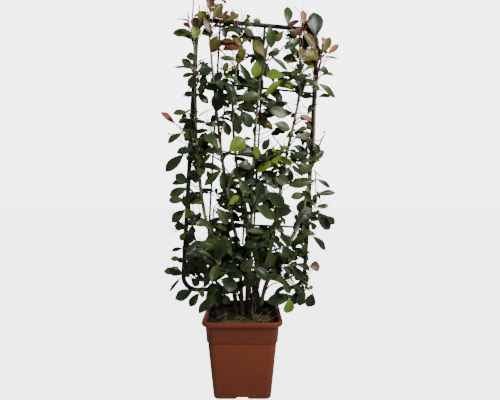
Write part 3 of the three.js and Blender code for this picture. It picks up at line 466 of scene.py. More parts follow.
# Long thin twigs that cross between the stems, as (along, up)
CROSSING_TWIGS = (
    ((-153, 911), (-97, 855), (-20, 790)),
    ((-26, 894), (-73, 862), (-138, 814)),
    ((130, 976), (78, 917), (42, 880), (30, 820)),
    ((83, 735), (114, 717), (141, 686)),
    ((-213, 654), (-192, 671), (-169, 681)),
    ((154, 637), (194, 672), (242, 729)),
    ((231, 834), (196, 811), (177, 780)),
    ((32, 933), (21, 849), (5, 779)),
    ((-123, 529), (-54, 516), (21, 502)),
    ((132, 545), (150, 573), (174, 601)),
    ((65, 597), (84, 578), (103, 554)),
    ((-128, 504), (-110, 469), (-73, 426), (-47, 381)),
    ((82, 430), (96, 406), (109, 384)),
    ((217, 306), (186, 253), (156, 198)),
    ((239, 466), (256, 452), (270, 438)),
    ((-207, 542), (-165, 510), (-130, 497)),
    ((-217, 254), (-188, 249), (-160, 256)),
    ((-11, 272), (4, 228), (30, 196)),
    ((-138, 276), (-140, 314), (-119, 336)),
    ((248, 462), (252, 400), (254, 340)),
)
CROSSING_RADIUS = (2.8 * MM, 1.8 * MM)
CROSSING_FRONT = 40
CROSSING_STEPS = 8

# Thin stems from the soil into the lowest leaves: foot on the soil, then (along, up, front)
BASE_SHOOTS = (
    ((8, 30), (-60, 60, 20), (-128, 176, 26)),
    ((9, 26), (0, 30, 10), (-26, 140, 34)),
    ((44, 26), (58, 54, 30), (112, 130, 34)),
    ((58, 44), (92, 10, 14), (168, 34, 30)),
    ((22, 20), (-8, 96, 50), (-64, 150, 60)),
    ((30, 60), (30, 120, -40), (72, 220, -50)),
)
BASE_SHOOT_RADIUS = (4.2 * MM, 1.6 * MM)
BASE_SHOOT_STEPS = 10
BASE_LEAVES_FROM = 0.5


# Small helpers

def unit(vector):
    """The vector at length one."""
    return vector / np.linalg.norm(vector)


def mix(a, b, share):
    """The value at a share of the way from one to the other."""
    return a + (b - a) * share


def turned(vector, axis, angle):
    """The vector turned about a unit axis."""
    kept = axis * (axis @ vector)
    return kept + (vector - kept) * math.cos(angle) + np.cross(axis, vector) * math.sin(angle)


def perpendicular(direction):
    """A direction square to the given one."""
    helper = UP if abs(direction[2]) < STEEP else ALONG
    return unit(np.cross(direction, helper))


def on_trellis(along, up, front=0.0):
    """The point at a place on the trellis that is given in millimetres."""
    return TRELLIS_ORIGIN + (ALONG * along + RISE * up + FRONT * front) * MM


def trellis_place(points):
    """Along, up and front of one point or of many, in millimetres."""
    offset = (np.asarray(points) - TRELLIS_ORIGIN) / MM
    front = offset @ FRONT
    flat = offset - front[..., None] * FRONT
    skew = ALONG @ RISE
    along_dot = flat @ ALONG
    rise_dot = flat @ RISE
    scale = 1 - skew * skew
    return (along_dot - skew * rise_dot) / scale, (rise_dot - skew * along_dot) / scale, front


# The widest number and the step of a common 32-bit random generator
ALL_BITS = 0xFFFFFFFF
SEED_STEP = 0x6D2B79F5


def seeded_random(seed):
    """Draws from 0 to 1 that are the same on every run. The shifts are the generator's own."""
    state = seed & ALL_BITS

    def draw():
        nonlocal state
        state = (state + SEED_STEP) & ALL_BITS
        mixed = ((state ^ (state >> 15)) * (state | 1)) & ALL_BITS
        mixed ^= (mixed + (((mixed ^ (mixed >> 7)) * (mixed | 61)) & ALL_BITS)) & ALL_BITS
        return (mixed ^ (mixed >> 14)) / (ALL_BITS + 1)

    return draw


def around(draw):
    """A random vector with each part from -0.5 to 0.5."""
    return np.array([draw() - 0.5 for _ in range(3)])


def length_setting(name, description, default):
    """A size that the user can change."""
    return FloatProperty(name=name, description=description, default=default, unit="LENGTH")


def colour_setting(name, description, default):
    """A colour that the user can change."""
    return FloatVectorProperty(name=name, description=description, default=default, subtype="COLOR")


# Curves and skins

def spline(controls, steps):
    """Points of the centripetal curve through the controls, in even steps of its parameter."""
    controls = np.asarray(controls, float)
    padded = np.vstack((2 * controls[0] - controls[1], controls, 2 * controls[-1] - controls[-2]))
    spans = len(controls) - 1
    points = []
    for place in np.linspace(0, spans, steps + 1):
        k = min(int(place), spans - 1)
        x0, x1, x2, x3 = padded[k:k + 4]
        d0, d1, d2 = (math.sqrt(np.linalg.norm(b - a)) for a, b in ((x0, x1), (x1, x2), (x2, x3)))
        slope1 = ((x1 - x0) / d0 - (x2 - x0) / (d0 + d1) + (x2 - x1) / d1) * d1
        slope2 = ((x2 - x1) / d1 - (x3 - x1) / (d1 + d2) + (x3 - x2) / d2) * d1
        t = place - k
        square = -3 * x1 + 3 * x2 - 2 * slope1 - slope2
        cube = 2 * x1 - 2 * x2 + slope1 + slope2
        points.append(x1 + slope1 * t + square * t ** 2 + cube * t ** 3)
    return np.array(points)


def step_lengths(line):
    """The length of each step of a line."""
    return np.linalg.norm(np.diff(line, axis=0), axis=1)


def along_line(line, share):
    """The point and direction at a share of a line's steps."""
    place = share * (len(line) - 1)
    k = min(int(place), len(line) - 2)
    return mix(line[k], line[k + 1], place - k), unit(line[k + 1] - line[k])


def rings_along(points, radii, sides, cut=None):
    """A ring of vertices round each point. The first lies in the plane whose normal is cut, if given."""
    last = len(points) - 1
    rings = []
    normal = None
    for i, point in enumerate(points):
        tangent = unit(points[min(i + 1, last)] - points[max(i - 1, 0)])
        normal = perpendicular(tangent) if normal is None else unit(normal - tangent * (tangent @ normal))
        angles = np.arange(sides) * FULL_TURN / sides
        spokes = np.outer(np.cos(angles), normal) + np.outer(np.sin(angles), np.cross(tangent, normal))
        spokes *= np.reshape(radii[i], (-1, 1))
        if cut is not None and i == 0:
            spokes -= np.outer(spokes @ cut, tangent) / (tangent @ cut)
        rings.append(point + spokes)
    return np.array(rings)


def wall_faces(count, sides):
    """The faces between rings of vertices that follow one another."""
    faces = []
    for low in range(0, (count - 1) * sides, sides):
        for k in range(sides):
            after = (k + 1) % sides
            faces.append((low + k, low + after, low + sides + after, low + sides + k))
    return faces


class Shape:
    """Vertices and faces gathered for one piece, with a material number for each face."""

    def __init__(self):
        self.vertices = []
        self.faces = []
        self.kinds = []
        self.corners = []

    def add(self, vertices, faces, kind=0, corners=None):
        first = len(self.vertices)
        self.vertices.extend(map(tuple, np.reshape(vertices, (-1, 3))))
        self.faces.extend(tuple(first + index for index in face) for face in faces)
        self.kinds.extend([kind] * len(faces) if isinstance(kind, int) else kind)
        if corners:
            self.corners.extend(corners)

    def add_rings(self, rings, kind=0):
        """A closed skin over rings of vertices, with a flat end at both sides."""
        count, sides = rings.shape[:2]
        faces = wall_faces(count, sides)
        faces.append(tuple(reversed(range(sides))))
        faces.append(tuple(range((count - 1) * sides, count * sides)))
        self.add(rings, faces, kind)

    def piece(self, name, materials, sharp_angle=None):
        """The finished object, smooth except over edges sharper than the angle."""
        mesh = bpy.data.meshes.new(name)
        mesh.from_pydata(self.vertices, [], self.faces)
        for material in materials:
            mesh.materials.append(material)
        mesh.polygons.foreach_set("material_index", self.kinds)
        mesh.polygons.foreach_set("use_smooth", [True] * len(mesh.polygons))
        if self.corners:
            layer = mesh.uv_layers.new(name="leaf")
            layer.data.foreach_set("uv", np.ravel(self.corners))
        if sharp_angle is not None:
            mesh.set_sharp_from_angle(angle=sharp_angle)
        mesh.update()
        return link(name, mesh)


def link(name, data):
    """A new object in the scene."""
    made = bpy.data.objects.new(name, data)
    bpy.context.scene.collection.objects.link(made)
    return made


def hand_over(made, nodes):
    """Puts a finished piece on the plant's one body, in place of the model's nodes."""
    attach(made, "root")
    if nodes:
        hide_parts(*nodes)


# Materials

# Sockets of Blender's Mix node when it mixes colours
MIX_FACTOR = 0
MIX_FIRST = 6
MIX_SECOND = 7
MIX_RESULT = 2

# Clouds and grain of every surface
PATCH_DETAIL = 4.0
GRAIN_DETAIL = 3.0
PATCH_RANGE = (0.3, 0.7)
ROUGHNESS_SPREAD = 0.08

# A leaf's map runs from 0 to 1 across it and from its foot to its tip. Distances from the midrib
# and widths are shares of that width.
RIB_WIDTH = 0.05
SIDE_VEINS = 9.0
VEIN_SLANT = 5.0
SIDE_VEIN_WIDTH = 0.07
SIDE_VEIN_STRENGTH = 0.45
MARGIN_BAND = (0.3, 0.5)
TIP_BAND = (0.8, 1.0)
VEIN_BRIGHTNESS = 2.4
VEIN_RELIEF = 0.25
LEAF_GLOSS = 0.24
LEAF_CLOUDS = (0.7, 1.25)


def feed(tree, socket, value):
    """Sets a socket to a value, or links it to another node's socket."""
    if isinstance(value, bpy.types.NodeSocket):
        tree.links.new(value, socket)
    else:
        socket.default_value = value


def put(tree, kind, settings=None, **inputs):
    """One node: settings are its options, and inputs are values or other nodes' sockets."""
    node = tree.nodes.new(kind)
    for name, value in (settings or {}).items():
        setattr(node, name, value)
    for name, value in inputs.items():
        feed(tree, node.inputs[name.replace("_", " ")], value)
    return node


def maths(tree, operation, first, second=0.0):
    """The result of a node that calculates with one or two values."""
    node = put(tree, "ShaderNodeMath", {"operation": operation})
    for index, value in enumerate((first, second)):
        feed(tree, node.inputs[index], value)
    return node.outputs[0]


def rgba(colour, strength=1.0):
    """A colour, brighter or darker by its strength, with full alpha."""
    return tuple(min(1.0, part * strength) for part in colour[:3]) + (1.0,)


def shades(colour, clouds, grain):
    """A colour with its shades for the clouds and the grain, by their strengths."""
    return tuple(colour), rgba(colour, clouds)[:3], rgba(colour, grain)[:3]


def mixed_colour(tree, factor, first, second):
    """The result of a node that mixes two colours."""
    node = put(tree, "ShaderNodeMix", {"data_type": "RGBA"})
    for index, value in ((MIX_FACTOR, factor), (MIX_FIRST, first), (MIX_SECOND, second)):
        feed(tree, node.inputs[index], value)
    return node.outputs[MIX_RESULT]


def mottle_group():
    """A shared shader group: cloudy patches over the surface as a mask and as a height."""
    group = bpy.data.node_groups.get("mottle")
    if group:
        return group
    group = bpy.data.node_groups.new("mottle", "ShaderNodeTree")
    for name, default in (("Patch Scale", 20.0), ("Grain Scale", 400.0)):
        socket = group.interface.new_socket(name, in_out="INPUT", socket_type="NodeSocketFloat")
        socket.default_value = default
    stretch = group.interface.new_socket("Stretch", in_out="INPUT", socket_type="NodeSocketVector")
    stretch.default_value = (1.0, 1.0, 1.0)
    for name in ("Patches", "Grain"):
        group.interface.new_socket(name, in_out="OUTPUT", socket_type="NodeSocketFloat")
    entry = group.nodes.new("NodeGroupInput")
    place = put(group, "ShaderNodeTexCoord").outputs["Object"]
    scaled = put(group, "ShaderNodeVectorMath", {"operation": "MULTIPLY"})
    group.links.new(place, scaled.inputs[0])
    group.links.new(entry.outputs["Stretch"], scaled.inputs[1])
    where = scaled.outputs[0]
    patches = put(
        group, "ShaderNodeTexNoise",
        Vector=where, Scale=entry.outputs["Patch Scale"], Detail=PATCH_DETAIL,
    )
    grain = put(
        group, "ShaderNodeTexNoise",
        Vector=where, Scale=entry.outputs["Grain Scale"], Detail=GRAIN_DETAIL,
    )
    low, high = PATCH_RANGE
    spread = put(group, "ShaderNodeMapRange", Value=patches.outputs["Fac"], From_Min=low, From_Max=high)
    leave = group.nodes.new("NodeGroupOutput")
    group.links.new(spread.outputs["Result"], leave.inputs["Patches"])
    group.links.new(grain.outputs["Fac"], leave.inputs["Grain"])
    return group


def vein_group():
    """A shared shader group: midrib and side veins of a leaf, from its own map, as a mask."""
    group = bpy.data.node_groups.get("leaf veins")
    if group:
        return group
    group = bpy.data.node_groups.new("leaf veins", "ShaderNodeTree")
    width = group.interface.new_socket("Rib Width", in_out="INPUT", socket_type="NodeSocketFloat")
    width.default_value = RIB_WIDTH
    group.interface.new_socket("Veins", in_out="OUTPUT", socket_type="NodeSocketFloat")
    group.interface.new_socket("Margin", in_out="OUTPUT", socket_type="NodeSocketFloat")
    entry = group.nodes.new("NodeGroupInput")
    place = put(group, "ShaderNodeUVMap", {"uv_map": "leaf"}).outputs["UV"]
    parts = put(group, "ShaderNodeSeparateXYZ", Vector=place)
    aside = maths(group, "ABSOLUTE", maths(group, "SUBTRACT", parts.outputs["X"], 0.5))
    rib = maths(group, "LESS_THAN", aside, maths(group, "MULTIPLY", entry.outputs["Rib Width"], 0.5))
    along = maths(group, "MULTIPLY", parts.outputs["Y"], SIDE_VEINS)
    slant = maths(group, "SUBTRACT", along, maths(group, "MULTIPLY", aside, VEIN_SLANT))
    wave = maths(group, "ABSOLUTE", maths(group, "SUBTRACT", maths(group, "FRACT", slant), 0.5))
    side = maths(group, "MULTIPLY", maths(group, "LESS_THAN", wave, SIDE_VEIN_WIDTH), SIDE_VEIN_STRENGTH)
    low, high = MARGIN_BAND
    rim = put(group, "ShaderNodeMapRange", Value=aside, From_Min=low, From_Max=high)
    low, high = TIP_BAND
    tip = put(group, "ShaderNodeMapRange", Value=parts.outputs["Y"], From_Min=low, From_Max=high)
    margin = maths(group, "MAXIMUM", rim.outputs["Result"], tip.outputs["Result"])
    leave = group.nodes.new("NodeGroupOutput")
    group.links.new(maths(group, "MAXIMUM", rib, side), leave.inputs["Veins"])
    group.links.new(margin, leave.inputs["Margin"])
    return group


def use_group(tree, group, **inputs):
    """A shared group in a material, with its own values."""
    node = tree.nodes.new("ShaderNodeGroup")
    node.node_tree = group
    for name, value in inputs.items():
        node.inputs[name.replace("_", " ")].default_value = value
    return node


def base_material(name, roughness, **sockets):
    """A material with its plain values set on the shader's own sockets."""
    material = bpy.data.materials.new(name)
    material.use_nodes = True
    shader = material.node_tree.nodes["Principled BSDF"]
    shader.inputs["Roughness"].default_value = roughness
    for socket, value in sockets.items():
        shader.inputs[socket.replace("_", " ")].default_value = value
    return material, material.node_tree, shader


def mottled_material(
    name, colours, *, roughness, patch_scale, grain_scale, relief, stretch=(1, 1, 1), **sockets,
):
    """Cloudy colour with a fine grain that also lifts the surface."""
    material, tree, shader = base_material(name, roughness, **sockets)
    mottle = use_group(
        tree, mottle_group(), Patch_Scale=patch_scale, Grain_Scale=grain_scale, Stretch=stretch,
    )
    cloudy = mixed_colour(tree, mottle.outputs["Patches"], rgba(colours[0]), rgba(colours[1]))
    grained = mixed_colour(tree, mottle.outputs["Grain"], cloudy, rgba(colours[2]))
    tree.links.new(grained, shader.inputs["Base Color"])
    spread = put(
        tree, "ShaderNodeMapRange", Value=mottle.outputs["Grain"],
        To_Min=roughness - ROUGHNESS_SPREAD, To_Max=roughness + ROUGHNESS_SPREAD,
    )
    tree.links.new(spread.outputs["Result"], shader.inputs["Roughness"])
    bump = put(tree, "ShaderNodeBump", Strength=relief, Distance=MM, Height=mottle.outputs["Grain"])
    tree.links.new(bump.outputs["Normal"], shader.inputs["Normal"])
    return material


def leaf_material(name, colour, margin_colour, roughness, vein_strength):
    """A leaf's skin: its tone with faint clouds, paler veins, its own margin and a waxy gloss."""
    material, tree, shader = base_material(name, roughness, Specular_IOR_Level=LEAF_GLOSS)
    mottle = use_group(tree, mottle_group(), Patch_Scale=34.0, Grain_Scale=240.0)
    pattern = use_group(tree, vein_group())
    dark, bright = (rgba(colour, strength) for strength in LEAF_CLOUDS)
    cloudy = mixed_colour(tree, mottle.outputs["Patches"], dark, bright)
    edged = mixed_colour(tree, pattern.outputs["Margin"], cloudy, rgba(margin_colour))
    faded = maths(tree, "MULTIPLY", pattern.outputs["Veins"], vein_strength)
    veined = mixed_colour(tree, faded, edged, rgba(colour, VEIN_BRIGHTNESS))
    tree.links.new(veined, shader.inputs["Base Color"])
    bump = put(tree, "ShaderNodeBump", Strength=VEIN_RELIEF, Distance=MM, Height=pattern.outputs["Veins"])
    tree.links.new(bump.outputs["Normal"], shader.inputs["Normal"])
    return material


# Geometry Nodes

LUMP_SUBDIVISIONS = 2


def node_tree(name, sockets):
    """An empty geometry tree with its named inputs, and its entry and exit nodes."""
    tree = bpy.data.node_groups.new(name, "GeometryNodeTree")
    tree.interface.new_socket("Geometry", in_out="INPUT", socket_type="NodeSocketGeometry")
    for label, kind in sockets:
        tree.interface.new_socket(label, in_out="INPUT", socket_type=kind)
    tree.interface.new_socket("Geometry", in_out="OUTPUT", socket_type="NodeSocketGeometry")
    return tree, tree.nodes.new("NodeGroupInput"), tree.nodes.new("NodeGroupOutput")


def tube_tree():
    """Sweeps a round section along every line of a mesh and caps its ends."""
    tree, entry, leave = node_tree("tube along lines", (
        ("Radius", "NodeSocketFloat"), ("Sides", "NodeSocketInt"), ("Material", "NodeSocketMaterial"),
    ))
    curve = put(tree, "GeometryNodeMeshToCurve", Mesh=entry.outputs["Geometry"])
    section = put(
        tree, "GeometryNodeCurvePrimitiveCircle",
        Resolution=entry.outputs["Sides"], Radius=entry.outputs["Radius"],
    )
    tube = put(
        tree, "GeometryNodeCurveToMesh",
        Curve=curve.outputs["Curve"], Profile_Curve=section.outputs["Curve"], Fill_Caps=True,
    )
    finish_tree(tree, tube.outputs["Mesh"], entry, leave)
    return tree


def scatter_tree():
    """Strews lumps of random size and turn over a surface."""
    tree, entry, leave = node_tree("strewn lumps", (
        ("Density", "NodeSocketFloat"), ("Seed", "NodeSocketInt"), ("Lump Radius", "NodeSocketFloat"),
        ("Low Scale", "NodeSocketVector"), ("High Scale", "NodeSocketVector"),
        ("Material", "NodeSocketMaterial"),
    ))
    spots = put(
        tree, "GeometryNodeDistributePointsOnFaces",
        Mesh=entry.outputs["Geometry"], Density=entry.outputs["Density"], Seed=entry.outputs["Seed"],
    )
    lump = put(
        tree, "GeometryNodeMeshIcoSphere",
        Radius=entry.outputs["Lump Radius"], Subdivisions=LUMP_SUBDIVISIONS,
    )
    turn = put(tree, "FunctionNodeRandomValue", {"data_type": "FLOAT_VECTOR"})
    turn.inputs["Max"].default_value = (FULL_TURN,) * 3
    size = put(tree, "FunctionNodeRandomValue", {"data_type": "FLOAT_VECTOR"})
    for node in (turn, size):
        tree.links.new(entry.outputs["Seed"], node.inputs["Seed"])
    tree.links.new(entry.outputs["Low Scale"], size.inputs["Min"])
    tree.links.new(entry.outputs["High Scale"], size.inputs["Max"])
    strewn = put(
        tree, "GeometryNodeInstanceOnPoints",
        Points=spots.outputs["Points"], Instance=lump.outputs["Mesh"],
        Rotation=turn.outputs["Value"], Scale=size.outputs["Value"],
    )
    finish_tree(tree, strewn.outputs["Instances"], entry, leave)
    return tree


def finish_tree(tree, geometry, entry, leave):
    """Realized, smooth and in its material."""
    real = put(tree, "GeometryNodeRealizeInstances", Geometry=geometry)
    smooth = put(tree, "GeometryNodeSetShadeSmooth", Geometry=real.outputs["Geometry"])
    painted = put(
        tree, "GeometryNodeSetMaterial",
        Geometry=smooth.outputs["Geometry"], Material=entry.outputs["Material"],
    )
    tree.links.new(painted.outputs["Geometry"], leave.inputs["Geometry"])


def grown_by(source, tree, name, **inputs):
    """Runs a geometry tree on a mesh and returns the result as a plain mesh object."""
    modifier = source.modifiers.new(tree.name, "NODES")
    modifier.node_group = tree
    for item in tree.interface.items_tree:
        label = item.name.replace(" ", "_")
        if item.item_type == "SOCKET" and item.in_out == "INPUT" and label in inputs:
            modifier[item.identifier] = inputs[label]
    graph = bpy.context.evaluated_depsgraph_get()
    mesh = bpy.data.meshes.new_from_object(source.evaluated_get(graph))
    source.modifiers.remove(modifier)
    bpy.data.objects.remove(source)
    mesh.name = name
    return link(name, mesh)


def lines_mesh(name, lines):
    """A mesh of bare edges along each line of points."""
    vertices = []
    edges = []
    for line in lines:
        first = len(vertices)
        vertices.extend(map(tuple, line))
        edges.extend((first + k, first + k + 1) for k in range(len(line) - 1))
    mesh = bpy.data.meshes.new(name)
    mesh.from_pydata(vertices, edges, [])
    return link(name, mesh)


# The pot: half widths and heights, and the radii of its corners

POT_RIM = 0.146
POT_SHOULDER = 0.1335
POT_BASE = 0.1055
POT_BASE_CHAMFER = 4 * MM
POT_LEDGE = 0.211
POT_LEDGE_STEP = 2.2 * MM
POT_INSIDE_TOP = 0.131
POT_INSIDE_BASE = 0.102
POT_FLOOR = 12 * MM
POT_RIM_BAND = 9 * MM
POT_RIM_HEIGHT = 17 * MM
CORNER_INSIDE = 20 * MM
CORNER_BASE = 23 * MM
CORNER_SHOULDER = 31 * MM
CORNER_RIM = 38 * MM
CORNER_STEPS = 12
RIM_STEPS = 26
INNER_ROWS = 3
NOTCH_WIDTH = 48 * MM
NOTCH_TOP_WIDTH = 36 * MM
NOTCH_HEIGHT = 10.5 * MM
NOTCH_DEPTH = 14 * MM
POT_SHARP_ANGLE = 38 * DEGREE

# The middle of the base's rounded edge: its height, how far in it lies, how much less its corner
BASE_EDGE = (0.9 * MM, 1.6 * MM, 1.5 * MM)

# Round the ledge, as (above it, outside it), and under the rim, as (below it, outside the shoulder)
LEDGE_PROFILE = ((-2, -2.2), (-1, -2.53), (-0.6, 0.96), (0.6, 1.6))
SHOULDER_PROFILE = ((4, -0.4), (1, 1.5))

# Over the rim, as (below the top, in from the widest, how much less the corner)
RIM_ROLL = (
    (17, 3, 2), (14, 0.6, 0), (10, 0, 0), (5, 0, 0), (1.5, 1.8, 1), (0, 5, 2), (0.5, 10, 4), (3.5, 13.5, 6),
)


def rounded_square(half, corner_radius, height):
    """A ring of vertices round a square with rounded corners."""
    ring = []
    for corner in range(4):
        start = corner * 90 * DEGREE
        middle = (half - corner_radius) * math.sqrt(2)
        centre = (middle * math.cos(start + 45 * DEGREE), middle * math.sin(start + 45 * DEGREE))
        for step in range(CORNER_STEPS + 1):
            angle = start + step / CORNER_STEPS * 90 * DEGREE
            ring.append((
                centre[0] + corner_radius * math.cos(angle),
                centre[1] + corner_radius * math.sin(angle),
                height,
            ))
    return ring


def inner_wall(height, pot_height):
    """Half width and corner radius of the pot's inside at a height."""
    share = (height - POT_FLOOR) / (pot_height - POT_RIM_BAND - POT_FLOOR)
    return mix(POT_INSIDE_BASE, POT_INSIDE_TOP, share), mix(CORNER_INSIDE, CORNER_SHOULDER, share)


def pot_rows(height):
    """The pot's profile from its underside over the rim to its floor."""
    rim_low = height - POT_RIM_HEIGHT
    share = POT_LEDGE / rim_low
    ledge = mix(POT_BASE, POT_SHOULDER, share)
    ledge_corner = mix(CORNER_BASE, CORNER_SHOULDER, share)
    inside_top = height - POT_RIM_BAND
    edge_height, edge_inset, edge_less = BASE_EDGE
    rows = [
        (0.0, POT_BASE - POT_BASE_CHAMFER, CORNER_INSIDE),
        (edge_height, POT_BASE - edge_inset, CORNER_BASE - edge_less),
        (POT_BASE_CHAMFER, POT_BASE, CORNER_BASE),
        (0.5 * POT_LEDGE, mix(POT_BASE, ledge - POT_LEDGE_STEP, 0.5), mix(CORNER_BASE, ledge_corner, 0.5)),
    ]
    for above, out in LEDGE_PROFILE:
        rows.append((POT_LEDGE + above * MM, ledge + out * MM, ledge_corner))
    for below, out in SHOULDER_PROFILE:
        rows.append((rim_low - below * MM, POT_SHOULDER + out * MM, CORNER_SHOULDER))
    roll = [
        (height - below * MM, POT_RIM - inset * MM, CORNER_RIM - less * MM)
        for below, inset, less in RIM_ROLL
    ]
    rows += [tuple(row) for row in spline(roll, RIM_STEPS)]
    rows += [
        (inside_top, *inner_wall(inside_top, height)),
        (0.5 * inside_top, *inner_wall(0.5 * inside_top, height)),
        (POT_FLOOR, *inner_wall(POT_FLOOR, height)),
    ]
    return rows


def notch_cutters():
    """Wedges that cut the drain notches into the middle of each base edge."""
    half = NOTCH_WIDTH / 2
    top_half = NOTCH_TOP_WIDTH / 2
    outline = ((-half, -MM), (half, -MM), (top_half, NOTCH_HEIGHT), (-top_half, NOTCH_HEIGHT))
    corners = [
        (x, y, z)
        for y in (-POT_BASE - NOTCH_DEPTH, -POT_BASE + NOTCH_DEPTH)
        for x, z in outline
    ]
    shape = Shape()
    for side in range(4):
        angle = side * 90 * DEGREE
        across = (math.cos(angle), -math.sin(angle), 0)
        inward = (math.sin(angle), math.cos(angle), 0)
        turn = np.array((across, inward, (0, 0, 1)))
        faces = [(0, 1, 2, 3), (7, 6, 5, 4), (0, 4, 5, 1), (1, 5, 6, 2), (2, 6, 7, 3), (3, 7, 4, 0)]
        shape.add(np.array(corners) @ turn.T, faces)
    return shape.piece("notch_cutters", [])


class PotSettings(bpy.types.PropertyGroup):
    height: length_setting("Height", "Height of the rim above the ground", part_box("pot")[1].z)
    colour: colour_setting("Colour", "Terracotta of the plastic", (0.158, 0.034, 0.0118))
    rub: colour_setting("Rubbed Colour", "Paler, dusty places", (0.186, 0.042, 0.0155))
    # The inner wall's colour is painted shade: darker plastic inside the pot, where the light does not
    # reach
    inner_shade: colour_setting("Inner Shade", "Inner wall, darkened as painted shade", (0.03, 0.012, 0.007))


class MakePot(bpy.types.Operator):
    """Make the square pot with its rolled rim, ledge and drain notches"""

    bl_idname = "photinia.make_pot"
    bl_label = "Pot"

    def execute(self, context):
        settings = context.scene.photinia_pot
        shape = Shape()
        rows = pot_rows(settings.height)
        rings = np.array([rounded_square(half, corner, height) for height, half, corner in rows])
        sides = rings.shape[1]
        outer = [0] * sides * (len(rows) - INNER_ROWS)
        inner = [1] * sides * (INNER_ROWS - 1)
        shape.add_rings(rings, outer + inner + [0, 1])
        # The inner wall faces take the dark colour, which is painted shade inside the pot
        shaded_inside = mottled_material(
            "plastic with painted inner shade", shades(settings.inner_shade, 1.7, 0.6),
            roughness=0.8, patch_scale=22.0, grain_scale=500.0, relief=0.2,
        )
        plastic = mottled_material(
            "pot plastic", (tuple(settings.colour), tuple(settings.rub), tuple(settings.colour)),
            roughness=0.55, patch_scale=9.0, grain_scale=700.0, relief=0.12, Specular_IOR_Level=0.3,
        )
        pot = shape.piece("moulded_pot", [plastic, shaded_inside])
        cutters = notch_cutters()
        cut = pot.modifiers.new("notches", "BOOLEAN")
        cut.object = cutters
        cut.operation = "DIFFERENCE"
        graph = context.evaluated_depsgraph_get()
        mesh = bpy.data.meshes.new_from_object(pot.evaluated_get(graph))
        pot.modifiers.clear()
        bpy.data.objects.remove(cutters)
        mesh.set_sharp_from_angle(angle=POT_SHARP_ANGLE)
        pot.data = mesh
        hand_over(pot, ["pot"])
        return {"FINISHED"}


# The soil

SOIL_RINGS = 34
SOIL_GAP = 0.5 * MM
SOIL_EDGE_DROP = 2.5 * MM
SOIL_EDGE_SLOPE = 5
SOIL_HILL = 3 * MM

# Lumps of the soil: how many to the metre, where in the noise, and its roughness, step and octaves
LUMP_SCALE = 26
LUMP_PLACE = 3.7
LUMP_NOISE = (0.9, 2.1, 5)

# Patches of moss: how many to the metre, where in the noise, and how they thin out to the back, where the
# bare dark earth is also painted shade
MOSS_SCALE = 22
MOSS_PLACE = 9.1
MOSS_THINNING = 0.28
MOSS_FRONT = 0.35

# The first ring, from the wall inwards, that crumbs and moss lie on
CRUMBS_FROM = 4
MOSS_FROM = 3


def soil_top_shape(lump_height, pot_height):
    """The soil with its uneven top, from the pot's floor up."""
    half, corner = inner_wall(SOIL_TOP, pot_height)
    low_half, low_corner = inner_wall(POT_FLOOR, pot_height)
    outline = np.array(rounded_square(half - SOIL_GAP, corner, 0.0))
    rings = [np.array(rounded_square(low_half - SOIL_GAP, low_corner, POT_FLOOR + SOIL_GAP))]
    for k in range(SOIL_RINGS):
        share = 1 - k / SOIL_RINGS
        ring = outline * share
        for point in ring:
            spot = Vector((point[0] * LUMP_SCALE, point[1] * LUMP_SCALE, LUMP_PLACE))
            rough = noise.fractal(spot, *LUMP_NOISE)
            hill = 1 - (point[0] / half) ** 2 * (point[1] / half) ** 2
            edge = min(1.0, (1 - share) * SOIL_EDGE_SLOPE)
            point[2] = SOIL_TOP - SOIL_EDGE_DROP + edge * (lump_height * rough + SOIL_HILL * hill)
        rings.append(ring)
    return np.array(rings)


class SoilSettings(bpy.types.PropertyGroup):
    lump_height: length_setting("Lump Height", "How uneven the soil is", 5 * MM)
    crumbs: FloatProperty(name="Crumbs", description="Crumbs of soil to the square metre", default=26000.0)
    moss: FloatProperty(name="Moss", description="Tufts of moss to the square metre", default=42000.0)
    earth: colour_setting("Earth", "Colour of the damp soil", (0.02, 0.015, 0.0095))
    moss_colour: colour_setting("Moss Colour", "Colour of the moss", (0.12, 0.1, 0.04))


def soil_patch(name, top, wanted):
    """A copy of those faces of the soil's top whose first corner is wanted, to strew things on."""
    places = top.reshape(-1, 3)
    shape = Shape()
    shape.add(top, [face for face in wall_faces(*top.shape[:2]) if wanted(places[face[0]])])
    return shape.piece(name, [])


class MakeSoil(bpy.types.Operator):
    """Make the soil with crumbs, moss and a few dry stalks"""

    bl_idname = "photinia.make_soil"
    bl_label = "Soil"

    def execute(self, context):
        settings = context.scene.photinia_soil
        rings = soil_top_shape(settings.lump_height, context.scene.photinia_pot.height)
        earth = mottled_material(
            "damp soil", shades(settings.earth, 1.8, 0.5),
            roughness=0.95, patch_scale=60.0, grain_scale=900.0, relief=0.9, Specular_IOR_Level=0.15,
        )
        moss = mottled_material(
            "moss", shades(settings.moss_colour, 1.7, 0.4),
            roughness=0.95, patch_scale=70.0, grain_scale=1500.0, relief=1.0, Specular_IOR_Level=0.15,
        )
        shape = Shape()
        shape.add_rings(rings)
        soil = shape.piece("soil_bed", [earth])
        hand_over(soil, ["soil"])
        tree = scatter_tree()
        crumbs = grown_by(
            soil_patch("crumb_bed", rings[CRUMBS_FROM:SOIL_RINGS], lambda point: True), tree, "soil_crumbs",
            Density=settings.crumbs, Seed=5, Lump_Radius=1.7 * MM,
            Low_Scale=(0.35, 0.35, 0.25), High_Scale=(1.9, 1.5, 1.0), Material=earth,
        )
        hand_over(crumbs, [])
        tufts = grown_by(
            soil_patch("moss_bed", rings[MOSS_FROM:SOIL_RINGS], mossy), tree, "moss_tufts",
            Density=settings.moss, Seed=8, Lump_Radius=2.1 * MM,
            Low_Scale=(0.5, 0.5, 0.4), High_Scale=(1.9, 1.9, 1.3), Material=moss,
        )
        hand_over(tufts, [])
        make_dry_stalks()
        return {"FINISHED"}


def mossy(point):
    """True where the moss grows: in patches, most of them towards the front. The paler moss in front and
    the bare dark earth behind also paint the shade at the back of the pot.
    """
    spot = Vector((point[0] * MOSS_SCALE, point[1] * MOSS_SCALE, MOSS_PLACE))
    return noise.noise(spot) > MOSS_THINNING * (point[1] / POT_INSIDE_TOP + MOSS_FRONT)


